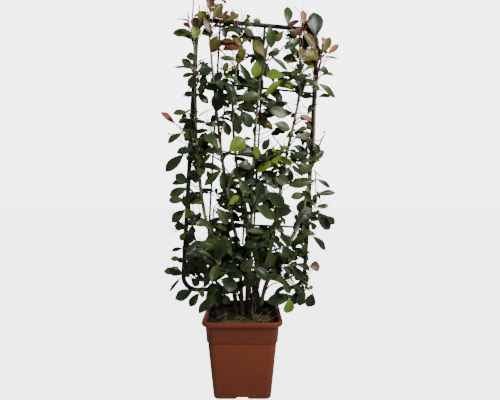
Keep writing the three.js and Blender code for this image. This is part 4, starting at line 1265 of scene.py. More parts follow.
# Dry stalks on the soil as foot, tip and radius in millimetres
DRY_STALKS = (
    ((58, -60, 268), (118, -14, 296), 1.1),
    ((84, -66, 268), (126, -50, 284), 0.8),
    ((52, -28, 268), (116, 30, 306), 1.1),
    ((-70, -80, 270), (-6, -96, 272), 1.1),
    ((-30, -62, 270), (38, -92, 271), 0.9),
    ((66, -96, 271), (8, -76, 272), 0.8),
    ((-96, -40, 270), (-60, 18, 273), 0.9),
    ((88, 40, 270), (30, 78, 274), 1.0),
)
STALK_SEED = 71
STALK_BEND = 8 * MM
STALK_TAPER = 0.6
STALK_STEPS = 10
STALK_SIDES = 7
STALK_SHARP_ANGLE = 50 * DEGREE
STRAW = ((0.17, 0.13, 0.075), (0.25, 0.2, 0.12), (0.1, 0.075, 0.04))


def make_dry_stalks():
    """Straws that lie and lean on the soil."""
    shape = Shape()
    draw = seeded_random(STALK_SEED)
    for foot, tip, radius in DRY_STALKS:
        foot = np.array(foot, float) * MM
        tip = np.array(tip, float) * MM
        middle = (foot + tip) / 2 + around(draw) * STALK_BEND
        points = spline((foot, middle, tip), STALK_STEPS)
        radii = np.linspace(radius, STALK_TAPER * radius, len(points)) * MM
        shape.add_rings(rings_along(points, radii, STALK_SIDES))
    straw = mottled_material(
        "dry straw", STRAW,
        roughness=0.8, patch_scale=60.0, grain_scale=700.0, relief=0.4, stretch=(1, 1, 0.3),
    )
    hand_over(shape.piece("dry_stalks", [straw], STALK_SHARP_ANGLE), [])


# The trellis: the steps of its bends, and in millimetres the points on its posts and its top bar

BEND_STEPS = 14
POST_STOPS = np.linspace(150, 880, 9)
BAR_STOPS = np.linspace(-110, 110, 5)

# The rods that reach the top bar, and where they are welded to it
LONG_RODS = 2
LONG_ROD_FRONT = -3

# A bead of weld, as (place on its axis, radius) in millimetres
BEAD_PROFILE = ((-5, 1.0), (-3.4, 3.2), (0, 4.4), (3.4, 3.2), (5, 1.0))
BEAD_SIDES = 10


def bend_points(corner, to_start, to_end):
    """A quarter bend round a corner, from one straight run to the next."""
    angles = np.linspace(0, 90 * DEGREE, BEND_STEPS + 1)
    return [corner + to_start * (1 - math.sin(a)) + to_end * (1 - math.cos(a)) for a in angles]


def leg_points(leg):
    """From the end of the lowest bar round the knee and down into the soil."""
    start = on_trellis(leg["bar_end"], 0)
    knee = on_trellis(leg["knee"], 0)
    end = np.array((leg["foot"][0] * MM, leg["foot"][1] * MM, SOIL_TOP - LEG_BURIED))
    down = unit(end - knee)
    bend_end = knee + down * LEG_BEND
    shares = np.linspace(0, 1, BEND_STEPS + 1)
    curve = [start * (1 - t) ** 2 + knee * 2 * t * (1 - t) + bend_end * t * t for t in shares]
    return curve + [mix(bend_end, end, 0.5), end]


def frame_line():
    """The one long tube of the trellis, from the left foot over the top to the right foot."""
    radius = BEND_RADIUS * MM
    sides = {}
    for side, sign in (("left", -1), ("right", 1)):
        leg = LEGS[side]
        post = sign * TRELLIS_HALF
        inward = -sign * ALONG * radius
        line = list(reversed(leg_points(leg)))
        line += list(reversed(bend_points(on_trellis(post, 0), RISE * radius, inward)))
        line += [on_trellis(post, up) for up in POST_STOPS]
        line += bend_points(on_trellis(post, TRELLIS_HEIGHT), -RISE * radius, inward)
        sides[side] = line
    bar = [on_trellis(along, TRELLIS_HEIGHT) for along in BAR_STOPS]
    return sides["left"] + bar + list(reversed(sides["right"]))


def weld_beads():
    """Small beads of weld where wires and rods meet each other and the frame."""
    spots = []
    for start, end in WIRES:
        for along, up, front in (start, end):
            spots.append(on_trellis(along, up, front))
        for foot, top in RODS:
            share = (foot[0] - start[0]) / (end[0] - start[0])
            height = mix(start[1], end[1], share)
            if 0 < share < 1 and foot[1] < height < top[1]:
                spots.append(on_trellis(foot[0], height, (start[2] + foot[2]) / 2))
    for _, top in RODS[:LONG_RODS]:
        spots.append(on_trellis(top[0], top[1], LONG_ROD_FRONT))
    return spots


class TrellisSettings(bpy.types.PropertyGroup):
    tube_radius: length_setting("Tube Radius", "Radius of the frame's tube", 8.4 * MM)
    wire_radius: length_setting("Wire Radius", "Radius of the cross wires", 4.1 * MM)
    rod_radius: length_setting("Rod Radius", "Radius of the upright rods", 3.8 * MM)
    colour: colour_setting("Colour", "Paint of the tube", (0.012, 0.014, 0.0135))


class MakeTrellis(bpy.types.Operator):
    """Make the tube frame with its wires, rods and welds"""

    bl_idname = "photinia.make_trellis"
    bl_label = "Trellis"

    def execute(self, context):
        settings = context.scene.photinia_trellis
        paint = mottled_material(
            "black paint", shades(settings.colour, 2.4, 1.3),
            roughness=0.5, patch_scale=26.0, grain_scale=500.0, relief=0.15, Specular_IOR_Level=0.3,
        )
        tree = tube_tree()
        tube = grown_by(
            lines_mesh("frame_line", [frame_line()]), tree, "trellis_frame",
            Radius=settings.tube_radius, Sides=24, Material=paint,
        )
        hand_over(tube, [
            "post_left", "post_right", "corner_top_left", "corner_top_right", "top_bar",
            "corner_low_left", "corner_low_right", "leg_left", "leg_right",
        ])
        wires = grown_by(
            lines_mesh("wire_lines", [[on_trellis(*start), on_trellis(*end)] for start, end in WIRES]),
            tree, "trellis_wires", Radius=settings.wire_radius, Sides=14, Material=paint,
        )
        hand_over(wires, ["wire_low", "wire_middle", "wire_upper"])
        rods = grown_by(
            lines_mesh("rod_lines", [[on_trellis(*foot), on_trellis(*top)] for foot, top in RODS]),
            tree, "trellis_rods", Radius=settings.rod_radius, Sides=12, Material=paint,
        )
        hand_over(rods, ["rod_left", "rod_centre"])
        beads = Shape()
        offsets, radii = np.array(BEAD_PROFILE).T * MM
        for spot in weld_beads():
            beads.add_rings(rings_along(spot + np.outer(offsets, FRONT), radii, BEAD_SIDES))
        hand_over(beads.piece("weld_beads", [paint]), [])
        return {"FINISHED"}


# Limbs: the same routes as the model's, so that what grows on them stands where it does there

# Fine points of a limb's axis for each of its steps, to find the place nearest to a shoot
FINE_PARTS = 8


class Limb:
    """One stem or bough: its axis, its radii and the rings that the model gives it."""

    def __init__(self, name, grown):
        data = LIMBS[name]
        route = [on_trellis(*place) for place in data["route"]]
        self.footed = "foot" in data
        if self.footed:
            foot = np.array((data["foot"][0] * MM, data["foot"][1] * MM, GROUND))
            self.controls = np.array([foot, *route])
            self.cut = UP
        else:
            start, outward = grown[data["parent"]].leave(data["from"], route[0], data["radius"][0] * MM)
            self.controls = np.array([start, start + outward * ROOT_LENGTH, *route])
            self.cut = outward
        self.radius = [part * MM for part in data["radius"]]
        steps = STEM_STEPS if self.footed else BOUGH_STEPS
        self.points = spline(self.controls, steps)
        self.radii = self.radii_of(self.points)
        self.rings = rings_along(self.points, self.radii, LIMB_SIDES, self.cut)
        self.heights = trellis_place(self.points)[1]
        self.fine = spline(self.controls, FINE_PARTS * steps)

    def radii_of(self, points):
        """The limb's even taper, with a root flare where it stands on the soil."""
        taper = np.linspace(self.radius[0], self.radius[1], len(points))
        if self.footed:
            taper = taper + ROOT_FLARE * np.exp((GROUND - points[:, 2]) / ROOT_FLARE_HEIGHT)
        return taper

    def place(self, height):
        """Point, direction and ring at a height on the trellis, or at the tip."""
        i = 0
        while i < len(self.points) - 2 and self.heights[i + 1] < height:
            i += 1
        span = self.heights[i + 1] - self.heights[i]
        share = 1.0 if height == TIP else min(max((height - self.heights[i]) / span, 0.0), 1.0)
        point = mix(self.points[i], self.points[i + 1], share)
        tangent = unit(self.points[i + 1] - self.points[i])
        return point, tangent, mix(self.rings[i], self.rings[i + 1], share)

    def leave(self, height, target, root_radius):
        """Where something leaves the limb: square to it, on the target's side, clear of the bark."""
        point, tangent, _ = self.place(height)
        outward = target - point
        outward = unit(outward - tangent * (tangent @ outward))
        reach = root_radius / MM
        rings = [self.place(height + step)[2] for step in (-reach, 0, reach)]
        bark = max(float(np.max((ring - point) @ outward)) for ring in rings)
        return point + outward * (bark + CLEARANCE), outward


def grow_limbs():
    """All limbs by name, each bough after the stem that carries it."""
    grown = {}
    for name in LIMBS:
        grown[name] = Limb(name, grown)
    return grown


# The skin of a limb: its thickness against the model's at foot and tip, and how finely it is drawn
BARK_SWELL = (1.15, 1.4)
BARK_SHARE = 0.97
STEM_BARK_STEPS = 150
BOUGH_BARK_STEPS = 60
BARK_SIDES = 16
BARK_SHARP_ANGLE = 60 * DEGREE
BOUGH_SUNK = 2 * MM
TIP_SHARE = 0.6

# Knots where leaves once stood, and how far each limb's are shifted against the last one's
KNOT_SPACING = 52 * MM
KNOT_SHIFT = 7 * MM
KNOT_LENGTH = 4 * MM
KNOT_SWELL = 0.16

# Ridges in the bark: their number round the limb and along it, each limb's shift, and the noise's
# roughness, step and octaves
RIDGES_ROUND = 1.6
RIDGES_ALONG = 26
RIDGE_SHIFT = 3.1
RIDGE_NOISE = (0.8, 2.2, 3)

# The bark's finish, and the height where it has turned young. Below it the bark is darker, as old bark and
# as painted shade on the low stems.
BARK_ROUGHNESS = 0.78
BARK_RELIEF = 0.7
YOUNG_FROM = 0.62
OLD_CLOUDS = 1.9
YOUNG_CLOUDS = 1.7
DARK_GRAIN = 0.7


def bark_rings(limb, relief, seed):
    """Fine rings of a limb with ridges, leaf scars and knots in its bark."""
    points = spline(limb.controls, STEM_BARK_STEPS if limb.footed else BOUGH_BARK_STEPS)
    if not limb.footed:
        points[0] -= limb.cut * BOUGH_SUNK
    radii = limb.radii_of(points) * np.linspace(*BARK_SWELL, len(points))
    length = np.concatenate(((0.0,), np.cumsum(step_lengths(points))))
    angles = np.arange(BARK_SIDES) * FULL_TURN / BARK_SIDES
    rows = []
    for i, radius in enumerate(radii):
        from_knot = (length[i] + seed * KNOT_SHIFT) % KNOT_SPACING - KNOT_SPACING / 2
        swell = 1 + KNOT_SWELL * math.exp(-((from_knot / KNOT_LENGTH) ** 2))
        height = length[i] * RIDGES_ALONG + seed * RIDGE_SHIFT
        row = []
        for angle in angles:
            spot = Vector((math.cos(angle) * RIDGES_ROUND, math.sin(angle) * RIDGES_ROUND, height))
            row.append(radius * swell * (BARK_SHARE + relief * noise.fractal(spot, *RIDGE_NOISE)))
        rows.append(row)
    rows[-1] = [value * TIP_SHARE for value in rows[-1]]
    return rings_along(points, rows, BARK_SIDES, limb.cut)


class StemSettings(bpy.types.PropertyGroup):
    relief: FloatProperty(
        name="Bark Relief", description="Depth of the bark's ridges as a share of the radius", default=0.2,
    )
    old_shaded_bark: colour_setting("Old Shaded Bark", "Colour of the stems low down", (0.085, 0.066, 0.045))
    young_bark: colour_setting("Young Bark", "Colour of the upper stems", (0.24, 0.2, 0.11))


def bark_material(old_shaded, young):
    """Bark that turns from dark and grey at the foot to olive brown higher up, with fine ridges. The dark
    foot is old bark and also painted shade.
    """
    material, tree, shader = base_material("bark", BARK_ROUGHNESS)
    mottle = use_group(tree, mottle_group(), Patch_Scale=60.0, Grain_Scale=420.0, Stretch=(1, 1, 0.18))
    place = put(tree, "ShaderNodeTexCoord").outputs["Object"]
    height = put(tree, "ShaderNodeSeparateXYZ", Vector=place).outputs["Z"]
    ramp = put(tree, "ShaderNodeMapRange", Value=height, From_Min=GROUND, From_Max=YOUNG_FROM)
    rise = ramp.outputs["Result"]
    plain = mixed_colour(tree, rise, rgba(old_shaded), rgba(young))
    light = mixed_colour(tree, rise, rgba(old_shaded, OLD_CLOUDS), rgba(young, YOUNG_CLOUDS))
    cloudy = mixed_colour(tree, mottle.outputs["Patches"], plain, light)
    grained = mixed_colour(tree, mottle.outputs["Grain"], rgba(old_shaded, DARK_GRAIN), cloudy)
    tree.links.new(grained, shader.inputs["Base Color"])
    bump = put(tree, "ShaderNodeBump", Strength=BARK_RELIEF, Distance=MM, Height=mottle.outputs["Grain"])
    tree.links.new(bump.outputs["Normal"], shader.inputs["Normal"])
    return material


class MakeStems(bpy.types.Operator):
    """Make the stems and low boughs with the relief of their bark"""

    bl_idname = "photinia.make_stems"
    bl_label = "Stems"

    def execute(self, context):
        settings = context.scene.photinia_stems
        shape = Shape()
        for seed, limb in enumerate(grow_limbs().values()):
            shape.add_rings(bark_rings(limb, settings.relief, seed))
        bark = bark_material(tuple(settings.old_shaded_bark), tuple(settings.young_bark))
        hand_over(shape.piece("bark_stems", [bark], BARK_SHARP_ANGLE), list(LIMBS))
        return {"FINISHED"}


# The crown

TINY = 1e-30
FEWEST_LEAVES = 2
RIPPLE = 0.022
RIPPLE_TURNS = 1.7

# Where a leaf is tested for room: stations along it and places across it, among them its widest
# station and its midrib
TEST_STATIONS = np.array((0.12, 0.32, 0.52, 0.74, 1.0))
TEST_WIDTHS = np.interp(TEST_STATIONS, LEAF_STATIONS, LEAF_WIDTHS)
TEST_ACROSS = np.array((-1.0, 0.0, 1.0))
WIDEST = 2
MIDRIB = 1


def segment_gaps(a, b, starts, ends):
    """Distances from one straight piece to many."""
    u = b - a
    v = ends - starts
    w = a - starts
    uu = u @ u
    vv = np.einsum("ij,ij->i", v, v)
    uv = v @ u
    uw = w @ u
    vw = np.einsum("ij,ij->i", v, w)
    parallel = uu * vv - uv * uv
    s = np.clip(np.where(parallel > 0, (uv * vw - vv * uw) / np.maximum(parallel, TINY), 0), 0, 1)
    t = np.clip((uv * s + vw) / vv, 0, 1)
    s = np.clip((uv * t - uw) / uu, 0, 1)
    return np.linalg.norm(w + s[:, None] * u - t[:, None] * v, axis=1)


class Twig:
    """A twig's line, its radii for keeping clear, and its skin: the radii that it shows."""

    def __init__(self, points, radii, length, parent=None):
        self.points = points
        self.radii = np.linspace(radii[0], radii[1], len(points))
        self.length = length
        self.parent = parent
        self.skin = radii
        self.young = False


class Leaf:
    """Where one leaf starts, how it is held and how it bends."""

    def __init__(self, base, direction, normal, length, aspect, draw):
        self.base = base
        self.root = base
        self.tone = None
        self.direction = direction
        self.normal = unit(normal - direction * (direction @ normal))
        self.length = length
        self.half_width = 0.5 * aspect * length
        self.droop = mix(*LEAF_DROOP, draw())
        self.fold = mix(*LEAF_FOLD, draw())
        self.phase = draw() * FULL_TURN

    def surface(self, stations, widths, across):
        """Points of the blade for every station along and place across it, and its normals."""
        angle = self.droop * stations
        along = np.sin(angle) / self.droop
        down = (np.cos(angle) - 1) / self.droop
        centre = self.base + self.length * (np.outer(along, self.direction) + np.outer(down, self.normal))
        normals = np.outer(np.cos(angle), self.normal) + np.outer(np.sin(angle), self.direction)
        sideways = np.cross(self.direction, self.normal)
        reach = self.half_width * np.outer(widths, across)
        wave = np.sin(FULL_TURN * RIPPLE_TURNS * stations + self.phase)
        ripple = RIPPLE * self.length * np.outer(wave, across ** 2)
        lift = np.abs(reach) * math.sin(self.fold) + ripple
        points = centre[:, None] + reach[..., None] * math.cos(self.fold) * sideways
        return points + lift[..., None] * normals[:, None], normals

    def test_points(self):
        """A few points of the blade, to keep it clear of what has grown before."""
        return self.surface(TEST_STATIONS, TEST_WIDTHS, TEST_ACROSS)[0].reshape(-1, 3)


def seen_from_camera(points):
    """Where on the trellis the camera sees each point, as along and up, and the point's own front."""
    sight = points - CAMERA_PLACE
    reach = ((TRELLIS_ORIGIN - CAMERA_PLACE) @ FRONT) / (sight @ FRONT)
    along, up, _ = trellis_place(CAMERA_PLACE + sight * reach[..., None])
    return np.stack((along, up), -1), trellis_place(points)[2]


class Crown:
    """Everything that has grown, so that each new twig and leaf keeps clear of it."""

    def __init__(self, limbs):
        self.limbs = limbs
        self.starts = []
        self.ends = []
        self.radii = []
        self.owners = []
        self.twigs = []
        self.leaves = []
        self.leaf_points = np.zeros((0, len(TEST_STATIONS) * len(TEST_ACROSS), 3))
        self.leaf_centres = np.zeros((0, 3))
        # Leaves in sight: middle, each half axis over its square, and front
        self.in_sight = np.zeros((0, 4, 2))
        low, high = MODEL_BOX
        self.low = np.array(low) + BOX_MARGIN
        self.high = np.array(high) - BOX_MARGIN
        self.add_trellis()
        for limb in limbs.values():
            self.add_line(limb.points, np.maximum(limb.radii[:-1], limb.radii[1:]), None)

    def add_line(self, points, radii, owner):
        """Adds each step of a line to what new growth keeps clear of."""
        for i in range(len(points) - 1):
            self.starts.append(points[i])
            self.ends.append(points[i + 1])
            self.radii.append(radii[i] if np.ndim(radii) else radii)
            self.owners.append(owner)

    def add_trellis(self):
        """The frame and the wires in its own plane."""
        self.add_line(np.array(frame_line()), CLEAR_TUBE_RADIUS, None)
        for start, end in WIRES:
            if start[2] == 0:
                self.add_line([on_trellis(*start), on_trellis(*end)], CLEAR_WIRE_RADIUS, None)

    def inside(self, points):
        """True if the points are in the crown's space and out of the pot's."""
        along, up, front = trellis_place(points)
        points = np.asarray(points)
        in_pot = (points[..., 2] < POT_KEEP_ABOVE) & (np.abs(points[..., :2]).max(-1) < POT_KEEP_OUT)
        inside = (along > CROWN_LEFT) & (along < CROWN_RIGHT) & (np.abs(front) < CROWN_DEPTH)
        inside &= (up > CROWN_BOTTOM) & (up < CROWN_TOP)
        return bool(np.all(inside & ~in_pot))

    def keep_in_sight(self, points):
        """Remembers a leaf, by its test points, that no grown leaf may hide from the camera."""
        seen, front = seen_from_camera(points.reshape(len(TEST_STATIONS), -1, 3))
        axis = (seen[-1, MIDRIB] - seen[0, MIDRIB]) / 2
        side = (seen[WIDEST, -1] - seen[WIDEST, 0]) / 2
        row = (seen[0, MIDRIB] + axis, axis / (axis @ axis), side / (side @ side), (front.min(), 0))
        self.in_sight = np.concatenate((self.in_sight, np.array(row)[None]))

    def hides_a_leaf(self, seen, front):
        """True if any of the points stands before a leaf that should be in sight."""
        middle, axis, side, leaf_front = self.in_sight.transpose(1, 0, 2)
        offset = seen[:, None] - middle
        inside = np.sum(offset * axis, 2) ** 2 + np.sum(offset * side, 2) ** 2 < 1
        return bool(np.any(inside & (front[:, None] > leaf_front[:, 0])))

    @staticmethod
    def against_sky(seen):
        """True if any of the points stands before a place where the sky should show."""
        along, up = seen.T
        return any(
            np.any((along > left) & (along < right) & (up > low) & (up < high))
            for left, right, low, high in OPEN_SKY
        )

    def in_model_box(self, points):
        return bool(np.all((points > self.low) & (points < self.high)))

    def twig_is_clear(self, twig):
        """True if the twig clears all but the twig that it grows from."""
        if not self.inside(twig.points[1:]):
            return False
        others = [i for i, owner in enumerate(self.owners) if owner is None or owner is not twig.parent]
        starts = np.array(self.starts)[others]
        ends = np.array(self.ends)[others]
        radii = np.array(self.radii)[others]
        for i in range(1, len(twig.points) - 1):
            gaps = segment_gaps(twig.points[i], twig.points[i + 1], starts, ends)
            if np.any(gaps < twig.radii[i] + LIMB_GAP + radii):
                return False
        return True

    def keep_twig(self, twig):
        self.twigs.append(twig)
        self.add_line(twig.points, twig.radii, twig)

    def freeze_rods(self):
        """The rods as arrays, once all twigs have grown."""
        self.rod_starts = np.array(self.starts)
        self.rod_spans = np.array(self.ends) - self.rod_starts
        self.rod_squares = np.einsum("ij,ij->i", self.rod_spans, self.rod_spans)
        self.rod_radii = np.array(self.radii)

    def leaf_is_clear(self, leaf):
        """The leaf's test points if it keeps clear of everything, or None."""
        points = leaf.test_points()
        if not self.inside(points) or not self.in_model_box(points):
            return None
        seen, front = seen_from_camera(points)
        if self.against_sky(seen) or self.hides_a_leaf(seen, front):
            return None
        centre = points.mean(0)
        near = np.linalg.norm(self.leaf_centres - centre, axis=1) < NEIGHBOUR_REACH
        blade = points[len(TEST_ACROSS):]
        if near.any():
            others = self.leaf_points[near].reshape(-1, 3)
            gaps = np.linalg.norm(blade[:, None] - others[None], axis=2)
            if gaps.min() < LEAF_GAP:
                return None
        offset = blade[:, None] - self.rod_starts[None]
        share = np.clip(np.einsum("ijk,jk->ij", offset, self.rod_spans) / self.rod_squares, 0, 1)
        gaps = np.linalg.norm(offset - share[..., None] * self.rod_spans, axis=2) - self.rod_radii
        return points if gaps.min() > LEAF_ROD_GAP else None

    def keep_leaf(self, leaf, points):
        self.leaves.append(leaf)
        self.leaf_points = np.concatenate((self.leaf_points, points[None]))
        self.leaf_centres = np.concatenate((self.leaf_centres, points.mean(0)[None]))


def twig_line(start, outward, heading, length, draw):
    """The source's rule for a twig's line: a root square to the limb, then steps that wander upwards."""
    points = [start, start + outward * ROOT_LENGTH]
    bearing = heading
    for _ in range(TWIG_STEPS):
        wander = around(draw)
        bearing = unit(bearing + wander * WANDER + UP * SKYWARD)
        points.append(points[-1] + bearing * length / TWIG_STEPS)
    return np.array(points)


def grow_main_twig(crown, limb, middle, at_tip, draw):
    """The main twig of a spray, from its limb towards the spray's middle, turned until it is clear."""
    along, up, front = middle
    height = TIP if at_tip else max(up - SPRAY_RISE, LOWEST_SPRAY)
    point, tangent, _ = limb.place(height)
    wanted = on_trellis(along, up, front) - point
    length = float(np.clip(np.linalg.norm(wanted) * PAST_MIDDLE, *SPRAY_LENGTH))
    start_turn = (draw() - 0.5) * ANGLE_SPREAD
    seed = int(draw() * SEED_RANGE)
    for turn in TWIG_TURNS:
        heading = turned(unit(wanted), tangent, start_turn + turn)
        if at_tip:
            start = point + tangent * CLEARANCE
            outward = tangent
        else:
            start, outward = limb.leave(height, point + heading, TWIG_RADIUS[0])
        line = twig_line(start, outward, heading, length, seeded_random(seed))
        twig = Twig(line, TWIG_RADIUS, length)
        twig.skin = REAL_TWIG_RADIUS
        if crown.twig_is_clear(twig):
            return twig
    raise RuntimeError(f"no room for the spray at {middle}")


def grow_side_twig(crown, parent, start_share, length, angle, radii, draw):
    """A twig that leaves its parent at an angle, turned until it is clear, or None."""
    point, tangent = along_line(parent.points, start_share)
    start_turn = draw() * FULL_TURN
    seed = int(draw() * SEED_RANGE)
    for turn in TWIG_TURNS:
        aside = turned(perpendicular(tangent), tangent, start_turn + turn)
        heading = tangent * math.cos(angle) + aside * math.sin(angle)
        line = twig_line(point, heading, heading, length, seeded_random(seed))
        twig = Twig(line, radii, length, parent)
        if crown.twig_is_clear(twig):
            return twig
    return None


def pick_tone(up, draw):
    """A tone for a height on the trellis, by its share."""
    shares = next(tones for limit, tones in TONE_SHARES if up < limit)
    place = draw()
    for tone, share in shares:
        place -= share
        if place < 0:
            return tone
    return shares[-1][0]


class Carrier:
    """What leaves stand on: its place by share of length, its thickness and how many leaves it has."""

    def __init__(self, line, radii, count, first=LEAVES_FROM):
        self.line = line
        self.radii = radii
        self.count = count
        self.first = first

    def places(self):
        """Share of the length, point, direction and radius for each leaf."""
        for i in range(self.count):
            share = mix(self.first, 1.0, i / max(self.count - 1, 1))
            point, tangent = along_line(self.line, share)
            yield share, point, tangent, mix(self.radii[0], self.radii[-1], share)


def grow_leaves(crown, carrier, settings, tone, draw):
    """Leaves round a twig by the golden angle, each at the first turn and size that is clear."""
    start_turn = draw() * FULL_TURN
    for i, (share, point, tangent, radius) in enumerate(carrier.places()):
        length = mix(settings.leaf_length_min, settings.leaf_length_max, draw())
        angle = mix(*LEAF_ANGLES, share) + (draw() - 0.5) * ANGLE_SPREAD
        tilt = around(draw)
        looks = draw()
        turn = start_turn + i * GOLDEN_ANGLE
        placed = place_leaf(
            crown, point, tangent, radius, length, angle, tilt, turn, settings.leaf_aspect, looks,
        )
        if placed:
            leaf, points = placed
            leaf.tone = tone
            crown.keep_leaf(leaf, points)


def place_leaf(crown, point, tangent, radius, length, angle, tilt, turn, aspect, looks):
    """The leaf at the first size and turn that is clear, with its test points, or None."""
    outside = FRONT * np.sign(trellis_place(point)[2])
    normal = outside + UP * FACING_UP + tilt * FACING_SPREAD
    seed = int(looks * SEED_RANGE)
    for size in LEAF_SIZES:
        for extra in LEAF_TURNS:
            aside = turned(perpendicular(tangent), tangent, turn + extra)
            direction = unit(tangent * math.cos(angle) + aside * math.sin(angle) - UP * LEAF_SAG)
            base = point + direction * (radius + PETIOLE_LENGTH * length * size)
            leaf = Leaf(base, direction, normal, length * size, aspect, seeded_random(seed))
            leaf.root = point
            points = crown.leaf_is_clear(leaf)
            if points is not None:
                return leaf, points
    return None


def list_sprays():
    """Limb, middle and whether it grows from the tip, for each spray in the order of the tables."""
    sprays = []
    for limb_name, middles in SPRAYS.items():
        for i, middle in enumerate(middles):
            sprays.append((limb_name, middle, i == len(middles) - 1))
    return sprays


def grow_twigs(crown, sprays):
    """The source's main and side twig of each spray, then finer twigs on both."""
    draws = [seeded_random(SEED + i) for i in range(len(sprays))]
    groups = []
    for (limb_name, middle, at_tip), draw in zip(sprays, draws):
        main = grow_main_twig(crown, crown.limbs[limb_name], middle, at_tip, draw)
        crown.keep_twig(main)
        groups.append([main])
    for twigs, draw in zip(groups, draws):
        side = grow_side_twig(
            crown, twigs[0], SIDE_TWIG_START, twigs[0].length * SIDE_TWIG_LENGTH, SIDE_TWIG_ANGLE,
            SIDE_TWIG_RADIUS, draw,
        )
        if side:
            side.skin = REAL_TWIG_RADIUS
            twigs.append(side)
            crown.keep_twig(side)
    for index, twigs in enumerate(groups):
        draw = seeded_random(FINE_SEED + index)
        grown = len(twigs)
        for parent_index, start_share, length_share in FINE_TWIGS:
            if parent_index < grown:
                parent = twigs[parent_index]
                length = parent.length * length_share
                fine = grow_side_twig(
                    crown, parent, start_share, length, FINE_TWIG_ANGLE, REAL_FINE_RADIUS, draw,
                )
                if fine:
                    twigs.append(fine)
                    crown.keep_twig(fine)
    return groups


def grow_placed_leaves(crown):
    """The leaves that stand out, facing the front, each on a thin shoot from the nearest limb."""
    draw = seeded_random(PLACED_SEED)
    for tone, leaves in PLACED_LEAVES.items():
        for i, (along, up, bearing, length, width) in enumerate(leaves):
            base = on_trellis(along, up, PLACED_FRONTS[i % len(PLACED_FRONTS)])
            angle = bearing * DEGREE
            forward = FRONT * PLACED_FORWARD * (draw() - PLACED_BACKWARD)
            direction = unit(ALONG * math.cos(angle) + RISE * math.sin(angle) + forward)
            normal = FRONT + UP * PLACED_UPWARD + around(draw) * PLACED_TILT
            grown_length = length * MM * PLACED_GROWTH
            leaf = Leaf(base, direction, normal, grown_length, width / 100 * PLACED_SPREAD, draw)
            leaf.droop = mix(*PLACED_DROOP, draw())
            leaf.fold = mix(*PLACED_FOLD, draw())
            leaf.tone = tone
            points = leaf.test_points()
            crown.keep_leaf(leaf, points)
            crown.keep_in_sight(points)
            grow_shoot(crown, base, SHOOT_DROP, SHOOT_RADIUS, tone in YOUNG_TONES, draw)
    for tip in BARE_SHOOTS:
        grow_shoot(crown, on_trellis(*tip), BARE_SHOOT_DROP, BARE_SHOOT_RADIUS, True, draw)


def grow_crossing_twigs(crown):
    """The long thin twigs in front of the stems."""
    for route in CROSSING_TWIGS:
        controls = [on_trellis(along, up, CROSSING_FRONT) for along, up in route]
        crown.keep_twig(Twig(spline(controls, CROSSING_STEPS), CROSSING_RADIUS, 0))


def grow_shoot(crown, target, drop, radius, young, draw):
    """A thin shoot to the target, from the limb nearest to a point below it."""
    bark = np.concatenate([limb.fine for limb in crown.limbs.values()])
    nearest = bark[np.argmin(np.linalg.norm(bark - (target - UP * drop), axis=1))]
    middle = mix(nearest, target, 0.5) + around(draw) * SHOOT_BEND - UP * SHOOT_SAG
    shoot = Twig(spline((nearest, middle, target), SHOOT_STEPS), radius, 0)
    shoot.young = young
    crown.keep_twig(shoot)


def grow_base_shoots(crown):
    """Thin stems that rise from the soil into the lowest leaves."""
    shoots = []
    for foot, *route in BASE_SHOOTS:
        start = np.array((foot[0] * MM, foot[1] * MM, SOIL_TOP - ROOT_LENGTH))
        line = spline([start, *(on_trellis(*place) for place in route)], BASE_SHOOT_STEPS)
        shoot = Twig(line, BASE_SHOOT_RADIUS, float(np.sum(step_lengths(line))))
        crown.keep_twig(shoot)
        shoots.append(shoot)
    return shoots


def grow_crown(settings):
    """All twigs first, then the leaves of the sprays, and last the leaves on the stems."""
    crown = Crown(grow_limbs())
    sprays = list_sprays()
    groups = grow_twigs(crown, sprays)
    grow_placed_leaves(crown)
    grow_crossing_twigs(crown)
    base_shoots = grow_base_shoots(crown)
    crown.freeze_rods()
    for index, ((_, middle, _), twigs) in enumerate(zip(sprays, groups)):
        draw = seeded_random(LEAF_SEED + index)
        spray_tone = pick_tone(middle[1], draw)
        for twig in twigs:
            tone = spray_tone if draw() < SPRAY_TONE_SHARE else pick_tone(middle[1], draw)
            count = max(FEWEST_LEAVES, round(twig.length / settings.leaf_spacing))
            grow_leaves(crown, Carrier(twig.points, twig.skin, count), settings, tone, draw)
    draw = seeded_random(STEM_LEAF_SEED)
    for shoot in base_shoots:
        count = round((1 - BASE_LEAVES_FROM) * shoot.length / settings.leaf_spacing)
        carrier = Carrier(shoot.points, shoot.skin, count, BASE_LEAVES_FROM)
        # The low leaves take the deep green that also paints the shade low in the crown
        grow_leaves(crown, carrier, settings, "deep_green", draw)
    for limb in crown.limbs.values():
        grow_stem_leaves(crown, limb, settings, draw)
    return crown


def grow_stem_leaves(crown, limb, settings, draw):
    """Leaves that stand on the stem itself, in short runs of one tone."""
    line = limb.points[limb.heights > STEM_LEAVES_FROM]
    if len(line) < 2:
        return
    radii = limb.radii[limb.heights > STEM_LEAVES_FROM]
    length = float(np.sum(step_lengths(line)))
    runs = max(1, round(length / (STEM_LEAF_SPACING * STEM_LEAF_RUN)))
    fine = spline(line, runs * STEM_LEAF_RUN)
    for run in range(runs):
        part = slice(run * STEM_LEAF_RUN, (run + 1) * STEM_LEAF_RUN + 1)
        share = run / runs
        thickness = (mix(radii[0], radii[-1], share),) * 2
        tone = pick_tone(float(trellis_place(fine[part][0])[1]), draw)
        grow_leaves(crown, Carrier(fine[part], thickness, STEM_LEAF_RUN, 0.0), settings, tone, draw)


# Leaf faces: a thin closed blade whose upper and under side share their rim

